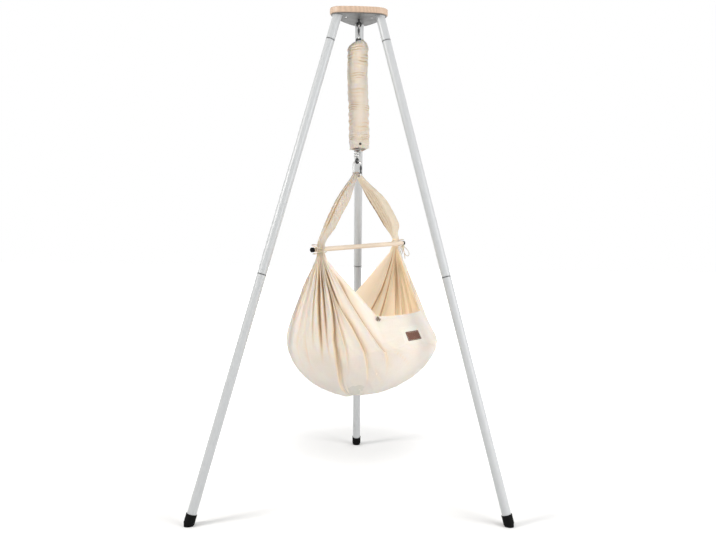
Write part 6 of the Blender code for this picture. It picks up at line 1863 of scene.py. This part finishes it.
def colour_setting(name, description, default):
    """A colour property."""
    return FloatVectorProperty(
        name=name, description=description, subtype="COLOR", size=3, min=0, max=1, default=default
    )


def length_setting(name, description, default, low, high):
    """A length property with limits."""
    return FloatProperty(
        name=name, description=description, unit="LENGTH", default=default, min=low, max=high
    )


def power_setting(name, description, default):
    """The power of a light."""
    return FloatProperty(name=name, description=description, unit="POWER", default=default, min=0)


def share_setting(name, description, default, high):
    """A plain number from zero up to a limit."""
    return FloatProperty(name=name, description=description, default=default, min=0, max=high)


class CradleStand(bpy.types.PropertyGroup):
    """Paint and wood of the stand."""

    paint_colour: colour_setting("Paint", "Powder coat of the legs", (0.485, 0.497, 0.505))
    wood_colour: colour_setting("Wood", "Light wood of the top board", (0.62, 0.445, 0.32))


class CradleCloth(bpy.types.PropertyGroup):
    """Cotton of the hammock, band and sleeve."""

    light_colour: colour_setting("Cotton", "Lighter tone of the cotton", (0.905, 0.84, 0.76))
    dark_colour: colour_setting("Slubs", "Darker tone of the cotton", (0.855, 0.78, 0.685))
    thread: length_setting("Thread", "Distance between threads", 0.0007, 0.0003, 0.003)
    thickness: length_setting("Thickness", "Thickness of the hammock's cloth", 0.0016, 0.0008, 0.004)
    fold_depth: share_setting("Fold depth", "Depth of the long folds", 1.0, 2)
    fan_lines: IntProperty(
        name="Fan lines", description="Lines of cloth at each gather", default=210, min=24, max=300
    )


class CradleStage(bpy.types.PropertyGroup):
    """Light and floor."""

    world_level: share_setting("World", "Strength of the light from all round", 0.50, 2)
    key_power: power_setting("Key", "Power of the key light", 80.0)
    fill_power: power_setting("Fill", "Power of the fill light", 90.0)
    top_power: power_setting("Top lamp", "Power of the large soft lamp overhead", 40.0)
    floor_glow: share_setting("Floor glow", "How much whiter the floor looks than it is lit", 0.45, 1)


class CRADLE_OT_stage(bpy.types.Operator):
    """Floor, world, lights and camera."""

    bl_idname = "cradle.stage"
    bl_label = "Stage"

    def execute(self, context):
        make_stage()
        return {"FINISHED"}


class CRADLE_OT_stand(bpy.types.Operator):
    """Three legs with sockets, feet and snap buttons."""

    bl_idname = "cradle.stand"
    bl_label = "Stand"

    def execute(self, context):
        for name in LEG_AZIMUTH:
            make_leg(name)
            for level, seam in SEAMS.items():
                make_snap_strip(name, level, seam)
        return {"FINISHED"}


class CRADLE_OT_top(bpy.types.Operator):
    """Board, plate, screws and nut."""

    bl_idname = "cradle.top"
    bl_label = "Top board"

    def execute(self, context):
        make_top()
        return {"FINISHED"}


class CRADLE_OT_hanger(bpy.types.Operator):
    """Eyes, hooks and spring."""

    bl_idname = "cradle.hanger"
    bl_label = "Hanger"

    def execute(self, context):
        make_eyes()
        make_hook("upper", EYE_SEAT + TOUCH + STEEL_BAR, (0, -1, 0), "upper_hook", "upper_hook_gate")
        make_hook("lower", SWIVEL_SEAT + TOUCH + STEEL_BAR, ACROSS, "cradle", "lower_hook_gate")
        make_spring()
        return {"FINISHED"}


class CRADLE_OT_sleeve(bpy.types.Operator):
    """Gathered sleeve with its stitches and stud."""

    bl_idname = "cradle.sleeve"
    bl_label = "Spring sleeve"

    def execute(self, context):
        make_sleeve()
        return {"FINISHED"}


class CRADLE_OT_band(bpy.types.Operator):
    """Folded band over the lower hook."""

    bl_idname = "cradle.band"
    bl_label = "Band"

    def execute(self, context):
        make_band()
        return {"FINISHED"}


class CRADLE_OT_bar(bpy.types.Operator):
    """Spreader bar, its caps, the lashings and the bows."""

    bl_idname = "cradle.bar"
    bl_label = "Bar and cords"

    def execute(self, context):
        make_bar()
        make_cords()
        return {"FINISHED"}


class CRADLE_OT_hammock(bpy.types.Operator):
    """Hammock cloth with its seams, and the leather patch."""

    bl_idname = "cradle.hammock"
    bl_label = "Hammock"

    def execute(self, context):
        make_hammock()
        make_patch()
        return {"FINISHED"}


class CRADLE_OT_mattress(bpy.types.Operator):
    """Padded mattress with piping."""

    bl_idname = "cradle.mattress"
    bl_label = "Mattress"

    def execute(self, context):
        make_mattress()
        return {"FINISHED"}


OPERATORS = (
    CRADLE_OT_stage,
    CRADLE_OT_stand,
    CRADLE_OT_top,
    CRADLE_OT_hanger,
    CRADLE_OT_sleeve,
    CRADLE_OT_band,
    CRADLE_OT_bar,
    CRADLE_OT_hammock,
    CRADLE_OT_mattress,
)


class CRADLE_PT_panel(bpy.types.Panel):
    """Settings of the cradle and its operators."""

    bl_idname = "CRADLE_PT_panel"
    bl_label = "Spring cradle"
    bl_space_type = "VIEW_3D"
    bl_region_type = "UI"
    bl_category = "Cradle"

    def draw(self, context):
        for name in ("cradle_stand", "cradle_cloth", "cradle_stage"):
            group = getattr(context.scene, name)
            box = self.layout.box()
            for key in group.bl_rna.properties.keys():
                if key not in ("rna_type", "name"):
                    box.prop(group, key)
        for operator in OPERATORS:
            self.layout.operator(operator.bl_idname)


SETTINGS = {"cradle_stand": CradleStand, "cradle_cloth": CradleCloth, "cradle_stage": CradleStage}


def register():
    """Adds the add-on's classes and its settings."""
    for kind in (*SETTINGS.values(), *OPERATORS, CRADLE_PT_panel):
        bpy.utils.register_class(kind)
    for name, kind in SETTINGS.items():
        setattr(bpy.types.Scene, name, PointerProperty(type=kind))


def unregister():
    """Takes the add-on's settings and classes away."""
    for name in SETTINGS:
        delattr(bpy.types.Scene, name)
    for kind in (CRADLE_PT_panel, *reversed(OPERATORS), *reversed(SETTINGS.values())):
        bpy.utils.unregister_class(kind)


def main():
    """Dresses the model: registers the add-on and runs each operator."""
    register()
    for operator in OPERATORS:
        getattr(bpy.ops.cradle, operator.bl_idname.split(".")[1])()


if __name__ == "__main__":
    main()
